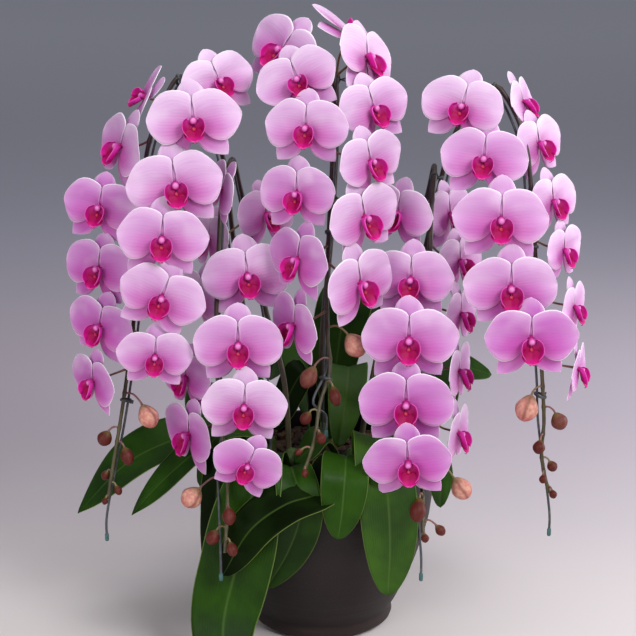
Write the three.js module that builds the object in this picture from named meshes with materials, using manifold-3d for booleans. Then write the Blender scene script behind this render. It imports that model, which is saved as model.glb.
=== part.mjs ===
// Potted moth orchid: five plants in one bowl-shaped pot, each with a tall flower spike
// that arches over a wire stake and hangs forward under two rows of blooms.
// Millimetres, +Z up, front towards -Y, origin at the centre of the pot's underside.

import * as THREE from "three";
import { mergeVertices } from "three/addons/utils/BufferGeometryUtils.js";
import Module from "manifold-3d";

const wasm = await Module();
wasm.setup();

// Driving dimensions
const GAP = 0.3; // between pieces that touch
const PETAL_THICKNESS = 0.9;
const LEAF_THICKNESS = 2.2;
const STEM_RADIUS = { foot: 3.6, tip: 2 };
const STEM_SIDES = 4;
const STEM_STEPS = 22;
const STEM_FOOT = v(0, 5, 204); // from the middle of the crown
const STEM_SPREAD = 1.08; // of the feet, against the crowns
const PEDICEL_RADIUS = 1.4;
const PEDICEL_BACK = 22; // that it runs straight back behind its bloom
const PEDICEL_RISE = 14; // from there to where it leaves the stem
const WIRE_RADIUS = 1.5;
const STAKE_FROM = 5; // the step of the stem at which its stake joins it
const WIRE_OFFSET = 8; // from the middle of the stem to the middle of its stake
const POT_RIM = 141;
const POT_HEIGHT = 222;
const BARK_TOP = 202;
const STAKE_DEPTH = 60; // of a stake's foot under the bark
const STAKE_CAP = { radius: 2.4, above: 4, below: 5 };
const CAP_RISE = 22; // of the straight end of the wire over its cap
const CROWN = { radius: 15, foot: 178, shoulder: 226, top: 238 };
const CROWN_SIDES = 8;
const POT_SIDES = 24;

// The view that places are read from: eye and pitch in the part's frame, and the
// focal length and middle of a picture of 636 by 636 pixels.
const EYE = new THREE.Vector3(-5, -2058, 959);
const PITCH = THREE.MathUtils.degToRad(15.6);
const FOCAL_PX = 1775;
const MIDDLE_PX = 318;

// The point on the sight line of pixel (px, py) that lies at the given y.
function at(px, py, y) {
  const across = (px - MIDDLE_PX) / FOCAL_PX;
  const up = (MIDDLE_PX - py) / FOCAL_PX;
  const reach = (y - EYE.y) / (up * Math.sin(PITCH) + Math.cos(PITCH));
  const rise = up * Math.cos(PITCH) - Math.sin(PITCH);
  return new THREE.Vector3(EYE.x + reach * across, y, EYE.z + reach * rise);
}

function v(x, y, z) {
  return new THREE.Vector3(x, y, z);
}

// The five plants. Turns are in degrees: yaw to the right, pitch up, roll clockwise.
// A bloom's pixel is its column, y its depth, and size 1 is 110 mm across.
const SPIKES = [
  {
    name: "a",
    crown: v(-70, 10, 0),
    stake: v(-94, -8, 0),
    stem: [at(246, 330, 24), at(232, 228, 36), at(221, 150, 28), at(185, 74, -20),
      at(152, 132, -42), at(140, 230, -62), at(134, 318, -72), at(125, 390, -80),
      at(119, 430, -85), at(111, 478, -88), at(108, 499, -90)],
    stakeTail: [at(107, 537, -88)],
    blooms: [
      { px: 218, py: 80, y: -46, yaw: 26, pitch: 22, roll: -14, size: 0.8 },
      { px: 193, py: 119, y: -82, yaw: 3, pitch: 18, roll: -4, size: 0.94 },
      { px: 175, py: 183, y: -104, yaw: 5, pitch: 12, roll: -6, size: 0.96 },
      { px: 162, py: 237, y: -126, yaw: 3, pitch: 8, roll: 4, size: 0.9 },
      { px: 162, py: 296, y: -132, yaw: 6, pitch: 4, roll: 22, size: 0.88 },
      { px: 155, py: 355, y: -132, yaw: 4, pitch: 2, roll: 5, size: 0.76 },
      { px: 146, py: 97, y: 4, yaw: -80, pitch: 30, roll: 46, size: 0.82 },
      { px: 121, py: 145, y: -34, yaw: -58, pitch: 16, roll: 14, size: 0.9 },
      { px: 100, py: 206, y: -58, yaw: -17, pitch: 12, roll: 6, size: 0.82 },
      { px: 99, py: 267, y: -72, yaw: -30, pitch: 10, roll: 4, size: 0.84 },
      { px: 100, py: 325, y: -90, yaw: -32, pitch: 4, roll: 12, size: 0.82 },
      { px: 93, py: 380, y: -94, yaw: -50, pitch: 0, roll: 8, size: 0.76 },
    ],
    buds: [
      { px: 148, py: 416, y: -92, long: 30, wide: 23 },
      { px: 105, py: 438, y: -84, long: 20, wide: 17 },
      { px: 127, py: 456, y: -92, long: 23, wide: 15 },
      { px: 106, py: 475, y: -80, long: 14, wide: 11 },
      { px: 118, py: 490, y: -92, long: 13, wide: 9 },
      { px: 105, py: 501, y: -96, long: 9, wide: 7 },
    ],
  },
  {
    name: "b",
    crown: v(-36, -55, 0),
    stake: v(-62, -62, 0),
    stem: [at(284, 380, -34), at(264, 303, 0), at(243, 200, 8), at(231, 158, -14),
      at(222, 200, -50), at(218, 270, -76), at(216, 350, -98), at(222, 430, -112),
      at(228, 492, -150), at(226, 530, -176), at(225, 553, -186)],
    stakeTo: 19,
    stakeTail: [v(-118, -112, 268), v(-122, -121, 250), v(-120, -140, 220), at(221, 577, -172)],
    blooms: [
      { px: 266, py: 213, y: -22, yaw: 45, pitch: 12, roll: 0, size: 0.8 },
      { px: 247, py: 274, y: -82, yaw: 10, pitch: 10, roll: -4, size: 0.92 },
      { px: 238, py: 343, y: -132, yaw: 2, pitch: 8, roll: 0, size: 0.91 },
      { px: 244, py: 405, y: -150, yaw: 2, pitch: 6, roll: 4, size: 0.86 },
      { px: 248, py: 464, y: -168, yaw: 4, pitch: 0, roll: 24, size: 0.73 },
      { px: 222, py: 188, y: -62, yaw: -66, pitch: 14, roll: 20, size: 0.72 },
      { px: 209, py: 238, y: -26, yaw: -56, pitch: 10, roll: 0, size: 0.78 },
      { px: 200, py: 296, y: -38, yaw: -54, pitch: 8, roll: 0, size: 0.8 },
      { px: 186, py: 376, y: -62, yaw: -48, pitch: 4, roll: 0, size: 0.8 },
      { px: 189, py: 433, y: -84, yaw: -54, pitch: 2, roll: 6, size: 0.88 },
    ],
    buds: [
      { px: 192, py: 497, y: -140, long: 28, wide: 24 },
      { px: 229, py: 516, y: -186, long: 23, wide: 15 },
      { px: 213, py: 537, y: -180, long: 19, wide: 15 },
      { px: 232, py: 549, y: -194, long: 18, wide: 12 },
    ],
  },
  {
    name: "c",
    crown: v(0, 40, 0),
    stake: v(1, 0, 0),
    stem: [at(322, 340, 38), at(331, 240, 26), at(337, 130, 6), at(336, 74, -12),
      at(334, 112, -40), at(332, 170, -58), at(328, 250, -76), at(327, 330, -92),
      at(329, 388, -108), at(316, 412, -126), at(316, 436, -138), at(303, 458, -148),
      at(303, 475, -156)],
    stakeTail: [at(326, 434, -104)],
    blooms: [
      { px: 283, py: 49, y: -16, yaw: -40, pitch: 26, roll: 24, size: 0.94 },
      { px: 297, py: 78, y: -68, yaw: -12, pitch: 20, roll: -24, size: 0.84 },
      { px: 306, py: 126, y: -102, yaw: -12, pitch: 10, roll: 0, size: 0.84 },
      { px: 297, py: 192, y: -112, yaw: -24, pitch: 8, roll: -2, size: 0.82 },
      { px: 298, py: 258, y: -122, yaw: -48, pitch: 8, roll: 6, size: 0.86 },
      { px: 294, py: 324, y: -118, yaw: -58, pitch: 4, roll: 8, size: 0.86 },
      { px: 350, py: 36, y: 30, yaw: 88, pitch: 50, roll: 90, size: 1 },
      { px: 367, py: 56, y: -34, yaw: 60, pitch: 20, roll: 20, size: 0.94 },
      { px: 373, py: 107, y: -72, yaw: 32, pitch: 16, roll: -10, size: 0.84 },
      { px: 370, py: 160, y: -104, yaw: 40, pitch: 10, roll: -10, size: 0.82 },
      { px: 364, py: 216, y: -122, yaw: 40, pitch: 6, roll: -10, size: 0.9 },
      { px: 360, py: 282, y: -140, yaw: 44, pitch: 4, roll: -10, size: 0.92 },
    ],
    buds: [
      { px: 355, py: 345, y: -108, long: 30, wide: 25 },
      { px: 309, py: 377, y: -112, long: 28, wide: 19 },
      { px: 335, py: 396, y: -124, long: 24, wide: 13 },
      { px: 306, py: 418, y: -128, long: 17, wide: 13 },
      { px: 321, py: 438, y: -146, long: 15, wide: 11 },
      { px: 299, py: 452, y: -144, long: 11, wide: 8 },
      { px: 305, py: 473, y: -162, long: 11, wide: 8 },
    ],
  },
  {
    name: "d",
    crown: v(36, -55, 0),
    stake: v(60, -66, 0),
    stem: [at(372, 380, -30), at(388, 310, 0), at(426, 200, 6), at(436, 158, -16),
      at(432, 200, -50), at(430, 270, -78), at(432, 350, -100), at(432, 430, -116),
      at(419, 490, -150), at(430, 520, -170), at(423, 533, -176)],
    stakeTail: [at(421, 577, -166)],
    blooms: [
      { px: 398, py: 212, y: -52, yaw: -34, pitch: 12, roll: 4, size: 0.82 },
      { px: 411, py: 278, y: -92, yaw: -12, pitch: 10, roll: 0, size: 0.89 },
      { px: 409, py: 338, y: -132, yaw: -4, pitch: 8, roll: 0, size: 0.97 },
      { px: 406, py: 402, y: -150, yaw: -3, pitch: 6, roll: 0, size: 0.96 },
      { px: 408, py: 461, y: -172, yaw: -2, pitch: -2, roll: -4, size: 0.88 },
      { px: 450, py: 213, y: -8, yaw: 50, pitch: 12, roll: 0, size: 0.82 },
      { px: 460, py: 260, y: -42, yaw: 50, pitch: 10, roll: 0, size: 0.78 },
      { px: 461, py: 313, y: -66, yaw: 62, pitch: 6, roll: 0, size: 0.76 },
      { px: 459, py: 370, y: -88, yaw: 70, pitch: 4, roll: 0, size: 0.8 },
      { px: 458, py: 432, y: -100, yaw: 70, pitch: 0, roll: 0, size: 0.8 },
    ],
    buds: [
      { px: 461, py: 488, y: -128, long: 30, wide: 23 },
      { px: 418, py: 510, y: -178, long: 29, wide: 18 },
      { px: 440, py: 530, y: -172, long: 15, wide: 11 },
      { px: 425, py: 538, y: -182, long: 11, wide: 9 },
    ],
  },
  {
    name: "e",
    crown: v(70, 10, 0),
    stake: v(94, -8, 0),
    stem: [at(408, 330, 14), at(432, 220, 20), at(457, 130, 2), at(494, 86, -22),
      at(522, 130, -44), at(532, 200, -62), at(536, 270, -74), at(541, 360, -84),
      at(544, 420, -89), at(541, 450, -91), at(549, 493, -93)],
    stakeTail: [at(549, 532, -90)],
    blooms: [
      { px: 463, py: 105, y: -58, yaw: -16, pitch: 20, roll: 10, size: 0.86 },
      { px: 484, py: 157, y: -88, yaw: -7, pitch: 16, roll: 4, size: 0.88 },
      { px: 501, py: 218, y: -116, yaw: 0, pitch: 10, roll: 2, size: 0.95 },
      { px: 511, py: 286, y: -130, yaw: 0, pitch: 6, roll: 0, size: 0.94 },
      { px: 531, py: 338, y: -148, yaw: 3, pitch: 2, roll: 0, size: 0.93 },
      { px: 523, py: 101, y: -4, yaw: 70, pitch: 20, roll: 0, size: 0.76 },
      { px: 539, py: 142, y: -32, yaw: 48, pitch: 14, roll: -6, size: 0.8 },
      { px: 553, py: 200, y: -52, yaw: 46, pitch: 10, roll: -4, size: 0.78 },
      { px: 564, py: 249, y: -66, yaw: 54, pitch: 6, roll: 0, size: 0.72 },
      { px: 574, py: 306, y: -74, yaw: 64, pitch: 4, roll: 0, size: 0.72 },
      { px: 578, py: 368, y: -80, yaw: 72, pitch: 0, roll: 0, size: 0.74 },
    ],
    buds: [
      { px: 527, py: 408, y: -94, long: 33, wide: 26 },
      { px: 559, py: 421, y: -92, long: 22, wide: 19 },
      { px: 539, py: 447, y: -106, long: 17, wide: 14 },
      { px: 552, py: 466, y: -96, long: 14, wide: 12 },
      { px: 543, py: 479, y: -104, long: 11, wide: 9 },
      { px: 553, py: 494, y: -102, long: 11, wide: 9 },
    ],
  },
];

// Leaves run from their plant's crown. A high taper gives a pointed tip. In degrees, turn is
// the way that a hanging leaf looks, as a bloom's yaw, and roll tips the upper face.
const LEAVES = [
  // Left side, from the plant on the left
  { plant: "a", foot: 220, width: 78, taper: 1, roll: -22, route: [at(222, 428, 24), at(178, 438, 14),
    at(128, 462, -2), at(77, 513, -18)] },
  { plant: "a", foot: 207, width: 42, taper: 1, roll: -20, route: [v(-106, 4, 222), at(204, 446, -38),
    at(178, 466, -54), at(155, 488, -62), at(131, 515, -66)] },
  { plant: "a", foot: 220, width: 34, roll: -10, route: [v(-78, -40, 248), at(216, 436, -64),
    at(207, 462, -78), at(199, 486, -80)] },
  // Front left, hanging over the rim
  { plant: "b", foot: 219, width: 86, turn: -12, roll: 0, route: [at(266, 457, -106), at(254, 489, -140),
    at(238, 560, -146), at(224, 618, -150), v(-118, -176, 16), v(-130, -214, 5)] },
  { plant: "a", foot: 208, width: 38, turn: -30, roll: 0, route: [v(-92, -46, 233),
    v(-117, -90, 241), at(214, 520, -106), at(209, 582, -94)] },
  { plant: "d", foot: 206, width: 58, roll: -28, route: [v(12, -122, 239), at(322, 491, -151),
    at(286, 504, -164), at(252, 528, -174), at(222, 576, -162)] },
  { plant: "b", foot: 209, width: 52, turn: -8, roll: -4, route: [v(-38, -98, 222),
    v(-36, -126, 241), at(298, 490, -150), at(300, 516, -150), at(288, 552, -138),
    at(266, 589, -120)] },
  // Middle
  { plant: "c", foot: 214, width: 50, roll: -16, route: [at(304, 372, 12), at(290, 392, 4),
    at(281, 414, 0), at(275, 430, -2)] },
  { plant: "c", foot: 222, width: 46, roll: 0, route: [at(348, 366, -8), at(347, 388, -54),
    at(343, 420, -78), at(338, 448, -86)] },
  { plant: "d", foot: 220, width: 42, roll: -10, route: [at(322, 438, -68), at(308, 450, -80),
    at(294, 462, -84)] },
  // Front right
  { plant: "d", foot: 214, width: 54, turn: 0, roll: 0, route: [v(28, -118, 252),
    at(345, 476, -166), at(342, 512, -174), at(338, 540, -168)] },
  { plant: "d", foot: 222, width: 66, turn: 0, roll: 0, route: [at(374, 436, -112),
    at(386, 484, -160), at(390, 540, -164), at(388, 597, -156)] },
  { plant: "e", foot: 206, width: 40, roll: 10, route: [v(80, -36, 240), at(426, 450, -68),
    at(440, 476, -92), at(441, 508, -94)] },
  { plant: "e", foot: 218, width: 62, roll: 26, route: [at(424, 382, 40), at(458, 366, 50),
    at(492, 374, 56)] },
  // Behind
  { plant: "a", foot: 212, width: 76, roll: 0, route: [v(-106, 84, 268), v(-140, 146, 250),
    v(-162, 190, 180)] },
  { plant: "c", foot: 210, width: 78, roll: 0, route: [v(-26, 112, 320), v(-52, 184, 308),
    v(-70, 236, 232)] },
  { plant: "c", foot: 218, width: 74, roll: 0, route: [v(32, 106, 376), v(56, 170, 380),
    v(76, 232, 316)] },
  { plant: "e", foot: 210, width: 76, roll: 0, route: [v(116, 84, 270), v(142, 154, 256),
    v(158, 206, 184)] },
];

// A closed mesh as a solid.
function solid(geometry) {
  const bare = new THREE.BufferGeometry();
  bare.setAttribute("position", geometry.getAttribute("position"));
  bare.setIndex(geometry.getIndex());
  const merged = mergeVertices(bare, 1e-4);
  return new wasm.Manifold(
    new wasm.Mesh({
      numProp: 3,
      vertProperties: new Float32Array(merged.getAttribute("position").array),
      triVerts: new Uint32Array(merged.getIndex().array),
    }),
  );
}

function joined(solids) {
  return solids.reduce((whole, next) => whole.add(next));
}

// The main body of a solid, without the scraps that a cut leaves.
function mainBody(whole) {
  const bodies = whole.decompose();
  return bodies.reduce((a, b) => (b.volume() > a.volume() ? b : a));
}

function geometryOf(whole) {
  const mesh = whole.getMesh();
  const geometry = new THREE.BufferGeometry();
  geometry.setAttribute("position", new THREE.BufferAttribute(mesh.vertProperties, 3));
  geometry.setIndex(new THREE.BufferAttribute(mesh.triVerts, 1));
  geometry.computeVertexNormals();
  return geometry;
}

// A closed blade: the front triangles, the same ones turned round behind them, and
// a rim between the two. Each point has a thickness of its own.
function blade(front, faces, thickness) {
  const normals = front.map(() => new THREE.Vector3());
  for (const [a, b, c] of faces) {
    const ab = front[b].clone().sub(front[a]);
    const normal = ab.cross(front[c].clone().sub(front[a]));
    for (const corner of [a, b, c]) {
      normals[corner].add(normal);
    }
  }
  const count = front.length;
  const points = [...front];
  front.forEach((point, i) => {
    points.push(point.clone().addScaledVector(normals[i].normalize(), -thickness[i]));
  });
  const edges = new Set();
  for (const [a, b, c] of faces) {
    edges.add(`${a},${b}`).add(`${b},${c}`).add(`${c},${a}`);
  }
  const index = [];
  for (const [a, b, c] of faces) {
    index.push(a, b, c, c + count, b + count, a + count);
  }
  for (const edge of edges) {
    const [a, b] = edge.split(",").map(Number);
    if (!edges.has(`${b},${a}`)) {
      index.push(b, a, a + count, b, a + count, b + count);
    }
  }
  const geometry = new THREE.BufferGeometry().setFromPoints(points);
  geometry.setIndex(index);
  return solid(geometry);
}

// A closed round rod through the points, each with a radius of its own.
function rod(points, radii, sides) {
  const last = points.length - 1;
  const first = points[1].clone().sub(points[0]).normalize();
  const normal = Math.abs(first.x) < 0.9 ? v(1, 0, 0) : v(0, 0, 1);
  const rings = [];
  points.forEach((point, i) => {
    const before = points[Math.max(i - 1, 0)];
    const along = points[Math.min(i + 1, last)].clone().sub(before).normalize();
    normal.addScaledVector(along, -normal.dot(along)).normalize();
    const across = along.clone().cross(normal);
    for (let k = 0; k < sides; k += 1) {
      const angle = (2 * Math.PI * k) / sides;
      const corner = point.clone().addScaledVector(normal, radii[i] * Math.cos(angle));
      rings.push(corner.addScaledVector(across, radii[i] * Math.sin(angle)));
    }
  });
  const index = [];
  for (let i = 0; i < last; i += 1) {
    for (let k = 0; k < sides; k += 1) {
      const a = i * sides + k;
      const b = i * sides + ((k + 1) % sides);
      index.push(a, b, b + sides, a, b + sides, a + sides);
    }
  }
  const end = last * sides;
  for (let k = 1; k < sides - 1; k += 1) {
    index.push(0, k + 1, k, end, end + k, end + k + 1);
  }
  const geometry = new THREE.BufferGeometry().setFromPoints(rings);
  geometry.setIndex(index);
  return solid(geometry);
}

// Bloom
const HUB_RADIUS = 5;
const HUB_THICKNESS = 3;
const LIP_THICKNESS = 1.2;
const HALF_BLOOM = 56; // from the column to a petal's edge
// Outer points of each lobe, anticlockwise from the front, and the corner of the hub
// before it, as an angle in degrees.
const PETAL_RIM = [[13, -25], [42, -26], [56, 3], [36, 33], [2, 27]];
const DORSAL_RIM = [[17, 34], [0, 50], [-17, 34]];
const LATERAL_RIM = [[10, -36], [34, -44], [34, -18]];
const mirrored = (rim) => rim.map(([x, y]) => [-x, y]).reverse();
const LOBES = [
  { corner: -24, rim: PETAL_RIM, front: true },
  { corner: 49, rim: DORSAL_RIM, front: false },
  { corner: 131, rim: mirrored(PETAL_RIM), front: true },
  { corner: 204, rim: mirrored(LATERAL_RIM), front: false },
  { corner: 270, rim: LATERAL_RIM, front: false },
];

// How far a point of the bloom stands forward: petals bow out, sepals lie back.
function bloomDepth(x, y, front) {
  const reach = Math.hypot(x, y) / HALF_BLOOM;
  return front ? 11 * reach * (1 - reach) : -2.4 * reach - 4.5 * reach * reach;
}

function bloomSheet() {
  const points = LOBES.map(({ corner }) => {
    const angle = THREE.MathUtils.degToRad(corner);
    return v(HUB_RADIUS * Math.cos(angle), HUB_RADIUS * Math.sin(angle), 0);
  });
  const faces = [[0, 1, 2], [0, 2, 3], [0, 3, 4]];
  LOBES.forEach(({ rim, front }, lobe) => {
    const loop = [lobe];
    for (const [x, y] of rim) {
      loop.push(points.push(v(x, y, bloomDepth(x, y, front))) - 1);
    }
    loop.push((lobe + 1) % LOBES.length);
    for (let low = 0, high = loop.length - 1; low + 1 < high; low += 1, high -= 1) {
      faces.push([loop[low], loop[low + 1], loop[high]]);
      if (low + 2 < high) {
        faces.push([loop[low + 1], loop[high - 1], loop[high]]);
      }
    }
  });
  const thickness = points.map((_, i) => (i < LOBES.length ? HUB_THICKNESS : PETAL_THICKNESS));
  return blade(points, faces, thickness);
}

// The lip: two side lobes that stand up beside the column, and a pointed middle lobe.
function lip() {
  const points = [v(0, -5, 3), v(0, -15, 5), v(-10, -22, 13), v(0, -31, 18), v(10, -22, 13),
    v(-13, -6, 11), v(13, -6, 11)];
  const [claw, throat, left, tip, right, leftEar, rightEar] = points.keys();
  const faces = [
    [claw, leftEar, left], [claw, left, throat], [claw, throat, right], [claw, right, rightEar],
    [throat, left, tip], [throat, tip, right],
  ];
  return blade(points, faces, points.map(() => LIP_THICKNESS));
}

function column() {
  return rod([v(0, -2, -1), v(0, -4, 9)], [3.2, 2.6], 3);
}

const BLOOM = joined([bloomSheet(), column(), lip()]);

// Where a bloom's own frame lies: x to its right, y up its face, z the way it looks.
function facing(yawDegrees, pitchDegrees, rollDegrees) {
  const yaw = THREE.MathUtils.degToRad(yawDegrees);
  const pitch = THREE.MathUtils.degToRad(pitchDegrees);
  const right = v(Math.cos(yaw), Math.sin(yaw), 0);
  const forward = v(
    Math.sin(yaw) * Math.cos(pitch),
    -Math.cos(yaw) * Math.cos(pitch),
    Math.sin(pitch),
  );
  const up = forward.clone().cross(right);
  const turn = new THREE.Matrix4().makeBasis(right, up, forward);
  const roll = new THREE.Matrix4().makeRotationZ(-THREE.MathUtils.degToRad(rollDegrees));
  return turn.multiply(roll);
}

// The point of a stem's straight steps that lies nearest to the target.
function nearestOn(corners, target) {
  const candidates = corners.slice(1).map((corner, i) =>
    new THREE.Line3(corners[i], corner).closestPointToPoint(target, true, v(0, 0, 0)),
  );
  return candidates.reduce((best, point) =>
    point.distanceTo(target) < best.distanceTo(target) ? point : best,
  );
}

function bloomOnPedicel({ px, py, y, yaw, pitch, roll, size }, corners) {
  const hub = at(px, py, y);
  const place = facing(yaw, pitch, roll);
  const forward = v(0, 0, 1).transformDirection(place);
  place.scale(v(size, size, size)).setPosition(hub);
  const back = hub.clone().addScaledVector(forward, -PEDICEL_BACK);
  const root = nearestOn(corners, back.clone().add(v(0, 0, PEDICEL_RISE)));
  const start = hub.clone().addScaledVector(forward, -0.5 * HUB_THICKNESS * size);
  const bend = start.clone().add(root).multiplyScalar(0.25).addScaledVector(back, 0.5);
  const radii = [PEDICEL_RADIUS, PEDICEL_RADIUS, PEDICEL_RADIUS];
  return BLOOM.transform(place.elements).add(rod([start, bend, root], radii, 3));
}

// A bud is an egg on its stalk: from its tip, shares of its length and of its width.
const BUD_PROFILE = [[-0.5, 0.14], [-0.16, 0.5], [0.2, 0.44]];
const STALK_RADIUS = 1.3;

function budOnStalk({ px, py, y, long, wide }, corners) {
  const middle = at(px, py, y);
  const root = nearestOn(corners, middle.clone().add(v(0, 0, 0.7 * long)));
  const axis = root.clone().sub(middle).add(v(0, 0, 0.9 * long)).normalize();
  const points = BUD_PROFILE.map(([share]) => middle.clone().addScaledVector(axis, share * long));
  const radii = BUD_PROFILE.map(([, share]) => share * wide);
  points.push(middle.clone().addScaledVector(axis, 0.56 * long), root);
  radii.push(STALK_RADIUS, STALK_RADIUS);
  return rod(points, radii, 5);
}

// The corners of a stem's straight steps, from the crown to the tip.
function stemCorners({ crown, stem }) {
  const foot = STEM_FOOT.clone().add(v(crown.x * STEM_SPREAD, crown.y, 0));
  const curve = new THREE.CatmullRomCurve3([foot, ...stem], false, "centripetal");
  return curve.getSpacedPoints(STEM_STEPS);
}

function stemRod(plant, extra) {
  const { foot, tip } = STEM_RADIUS;
  const corners = stemCorners(plant);
  const radii = corners.map((_, i) => THREE.MathUtils.lerp(foot, tip, i / STEM_STEPS) + extra);
  return rod(corners, radii, STEM_SIDES);
}

function spike(plant) {
  const corners = stemCorners(plant);
  return joined([
    stemRod(plant, 0),
    ...plant.blooms.map((bloom) => bloomOnPedicel(bloom, corners)),
    ...plant.buds.map((bud) => budOnStalk(bud, corners)),
  ]);
}

// Stake: a wire in the bark that follows the inner side of the stem's arch.
function stakeCorners(plant) {
  const corners = stemCorners(plant);
  const focus = corners[STAKE_FROM + 2].clone().add(corners[STEM_STEPS - 6]).multiplyScalar(0.5);
  const { stake: { x, y }, stakeTo = STEM_STEPS - 1, stakeTail } = plant;
  const route = [v(x, y, BARK_TOP - STAKE_DEPTH), v(x, y, BARK_TOP + STAKE_DEPTH)];
  for (let i = STAKE_FROM; i < stakeTo; i += 1) {
    const along = corners[i + 1].clone().sub(corners[i - 1]).normalize();
    const inward = focus.clone().sub(corners[i]);
    inward.addScaledVector(along, -inward.dot(along)).setLength(WIRE_OFFSET);
    route.push(inward.add(corners[i]));
  }
  const end = stakeTail.at(-1);
  return [...route, ...stakeTail.slice(0, -1), end.clone().add(v(0, 1, CAP_RISE)), end];
}

function stakeRod(plant, extra) {
  const corners = stakeCorners(plant);
  return rod(corners, corners.map(() => WIRE_RADIUS + extra), 4);
}

function stake(plant) {
  const end = plant.stakeTail.at(-1);
  const { radius, above, below } = STAKE_CAP;
  const cap = [above, -below].map((up) => end.clone().add(v(0, 0, up)));
  return stakeRod(plant, 0).add(rod(cap, [radius, radius], 6));
}

// Leaf
const LEAF_STATIONS = [0, 0.14, 0.34, 0.56, 0.78, 0.93, 1];
const LEAF_FOLD = 0.42; // rise of the edges at the foot, as a share of the half width

function leafHalfWidth(s, width, taper) {
  const swell = 0.16 + 0.84 * Math.sin((Math.PI / 2) * Math.min(1, s / 0.5));
  const past = Math.max(0, (s - 0.6) / 0.4);
  return 0.5 * width * swell * (1 - past * past) ** taper;
}

function leafCurve({ plant, foot, route }) {
  const { crown: { x, y } } = SPIKES.find(({ name }) => name === plant);
  const base = route[0].clone().sub(v(x, y, 0)).setZ(0).setLength(CROWN.radius + GAP);
  return new THREE.CatmullRomCurve3([base.add(v(x, y, foot)), ...route], false, "centripetal");
}

// The way a leaf looks from above: its turn where that is given, or else from foot to tip.
function leafHeading(curve, turn) {
  if (turn === undefined) {
    return curve.getPointAt(1).sub(curve.getPointAt(0)).setZ(0);
  }
  const yaw = THREE.MathUtils.degToRad(turn);
  return v(Math.sin(yaw), -Math.cos(yaw), 0);
}

// A leaf, or with extra the room that it needs round it.
function leaf({ plant, foot, width, taper = 0.6, turn, roll, route }, extra) {
  const curve = leafCurve({ plant, foot, route });
  const level = leafHeading(curve, turn).cross(v(0, 0, 1)).normalize();
  const points = [];
  const faces = [];
  LEAF_STATIONS.forEach((s, row) => {
    const centre = curve.getPointAt(s);
    const along = curve.getTangentAt(s);
    const side = level.clone().addScaledVector(along, -level.dot(along)).normalize();
    side.applyAxisAngle(along, THREE.MathUtils.degToRad(roll) * Math.min(1, 2 * s));
    const face = side.clone().cross(along);
    const half = leafHalfWidth(s, width, taper) + extra;
    const lift = half * LEAF_FOLD * (1 - s) ** 1.5;
    centre.addScaledVector(face, extra);
    if (half < 0.5) {
      points.push(centre);
      const tip = points.length - 1;
      faces.push([tip - 3, tip - 2, tip], [tip - 2, tip - 1, tip]);
      return;
    }
    for (const x of [-1, 0, 1]) {
      const point = centre.clone().addScaledVector(side, x * half);
      points.push(point.addScaledVector(face, Math.abs(x) * lift));
    }
    if (row > 0) {
      const a = 3 * row - 3;
      faces.push([a, a + 1, a + 4], [a, a + 4, a + 3]);
      faces.push([a + 1, a + 2, a + 5], [a + 1, a + 5, a + 4]);
    }
  });
  return blade(points, faces, points.map(() => LEAF_THICKNESS + 2 * extra));
}

// Crown: the short stub that a plant's leaves and spike grow from.
function crown({ crown: place }, extra) {
  const { radius, foot, shoulder, top } = CROWN;
  const profile = [
    [0, foot - extra],
    [radius + extra, foot - extra],
    [radius + extra, shoulder],
    [radius * 0.4 + extra, top + extra],
    [0, top + extra],
  ];
  return turned(profile, CROWN_SIDES).translate([place.x, place.y, 0]);
}

// Pot: a bowl on a narrow foot, with a shallow groove above the foot and a rolled rim.
const POT_OUTSIDE = [
  [0, 0], [80, 0], [87.5, 8], [85.8, 17], [88, 22], [98.5, 42], [109.5, 65],
  [121, 97], [133, 140], [139, 206], [POT_RIM + 2, 212], [POT_RIM + 1, POT_HEIGHT],
];
const POT_INSIDE = [
  [POT_RIM - 7, POT_HEIGHT], [POT_RIM - 9, 206], [110, 92], [74, 30], [0, 26],
];

function turned(profile, sides) {
  const points = profile.map(([r, z]) => new THREE.Vector2(r, z));
  const body = new THREE.LatheGeometry(points, sides);
  body.rotateX(Math.PI / 2);
  return solid(body);
}

function pot() {
  return turned([...POT_OUTSIDE, ...POT_INSIDE], POT_SIDES);
}

// Bark: fills the pot, with plain holes for the crowns and the stakes.
function bark() {
  const inside = POT_INSIDE.slice(2).map(([r, z]) => [Math.max(0, r - GAP), z + GAP]);
  const fill = turned(
    [...inside.reverse(), [POT_RIM - 12, BARK_TOP - 4], [POT_RIM - 40, BARK_TOP + 3], [0, BARK_TOP]],
    POT_SIDES,
  );
  const holes = SPIKES.flatMap((plant) => [crown(plant, GAP), stakeHole(plant)]);
  return fill.subtract(joined(holes));
}

function stakeHole({ stake: place }) {
  const middle = v(place.x, place.y, BARK_TOP);
  const reach = v(0, 0, STAKE_DEPTH + GAP);
  const radius = WIRE_RADIUS + 4 * GAP;
  return rod([middle.clone().sub(reach), middle.clone().add(reach)], [radius, radius], 4);
}

// Materials
function finish(color, roughness, metalness = 0) {
  return new THREE.MeshStandardMaterial({ color, roughness, metalness });
}

const PETAL = finish(0xd79ad0, 0.6);
const LEAF = finish(0x35551a, 0.4);
const CROWN_GREEN = finish(0x4b6a2c, 0.6);
const WIRE = finish(0x424548, 0.5, 0.3);
const CERAMIC = finish(0x2b2124, 0.55);
const BARK = finish(0x2a2019, 0.9);

// Assembly
const orchid = new THREE.Group();

function place(name, whole, material) {
  const mesh = new THREE.Mesh(geometryOf(whole), material);
  mesh.name = name;
  orchid.add(mesh);
}

place("pot", pot(), CERAMIC);
place("bark", bark(), BARK);

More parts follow.
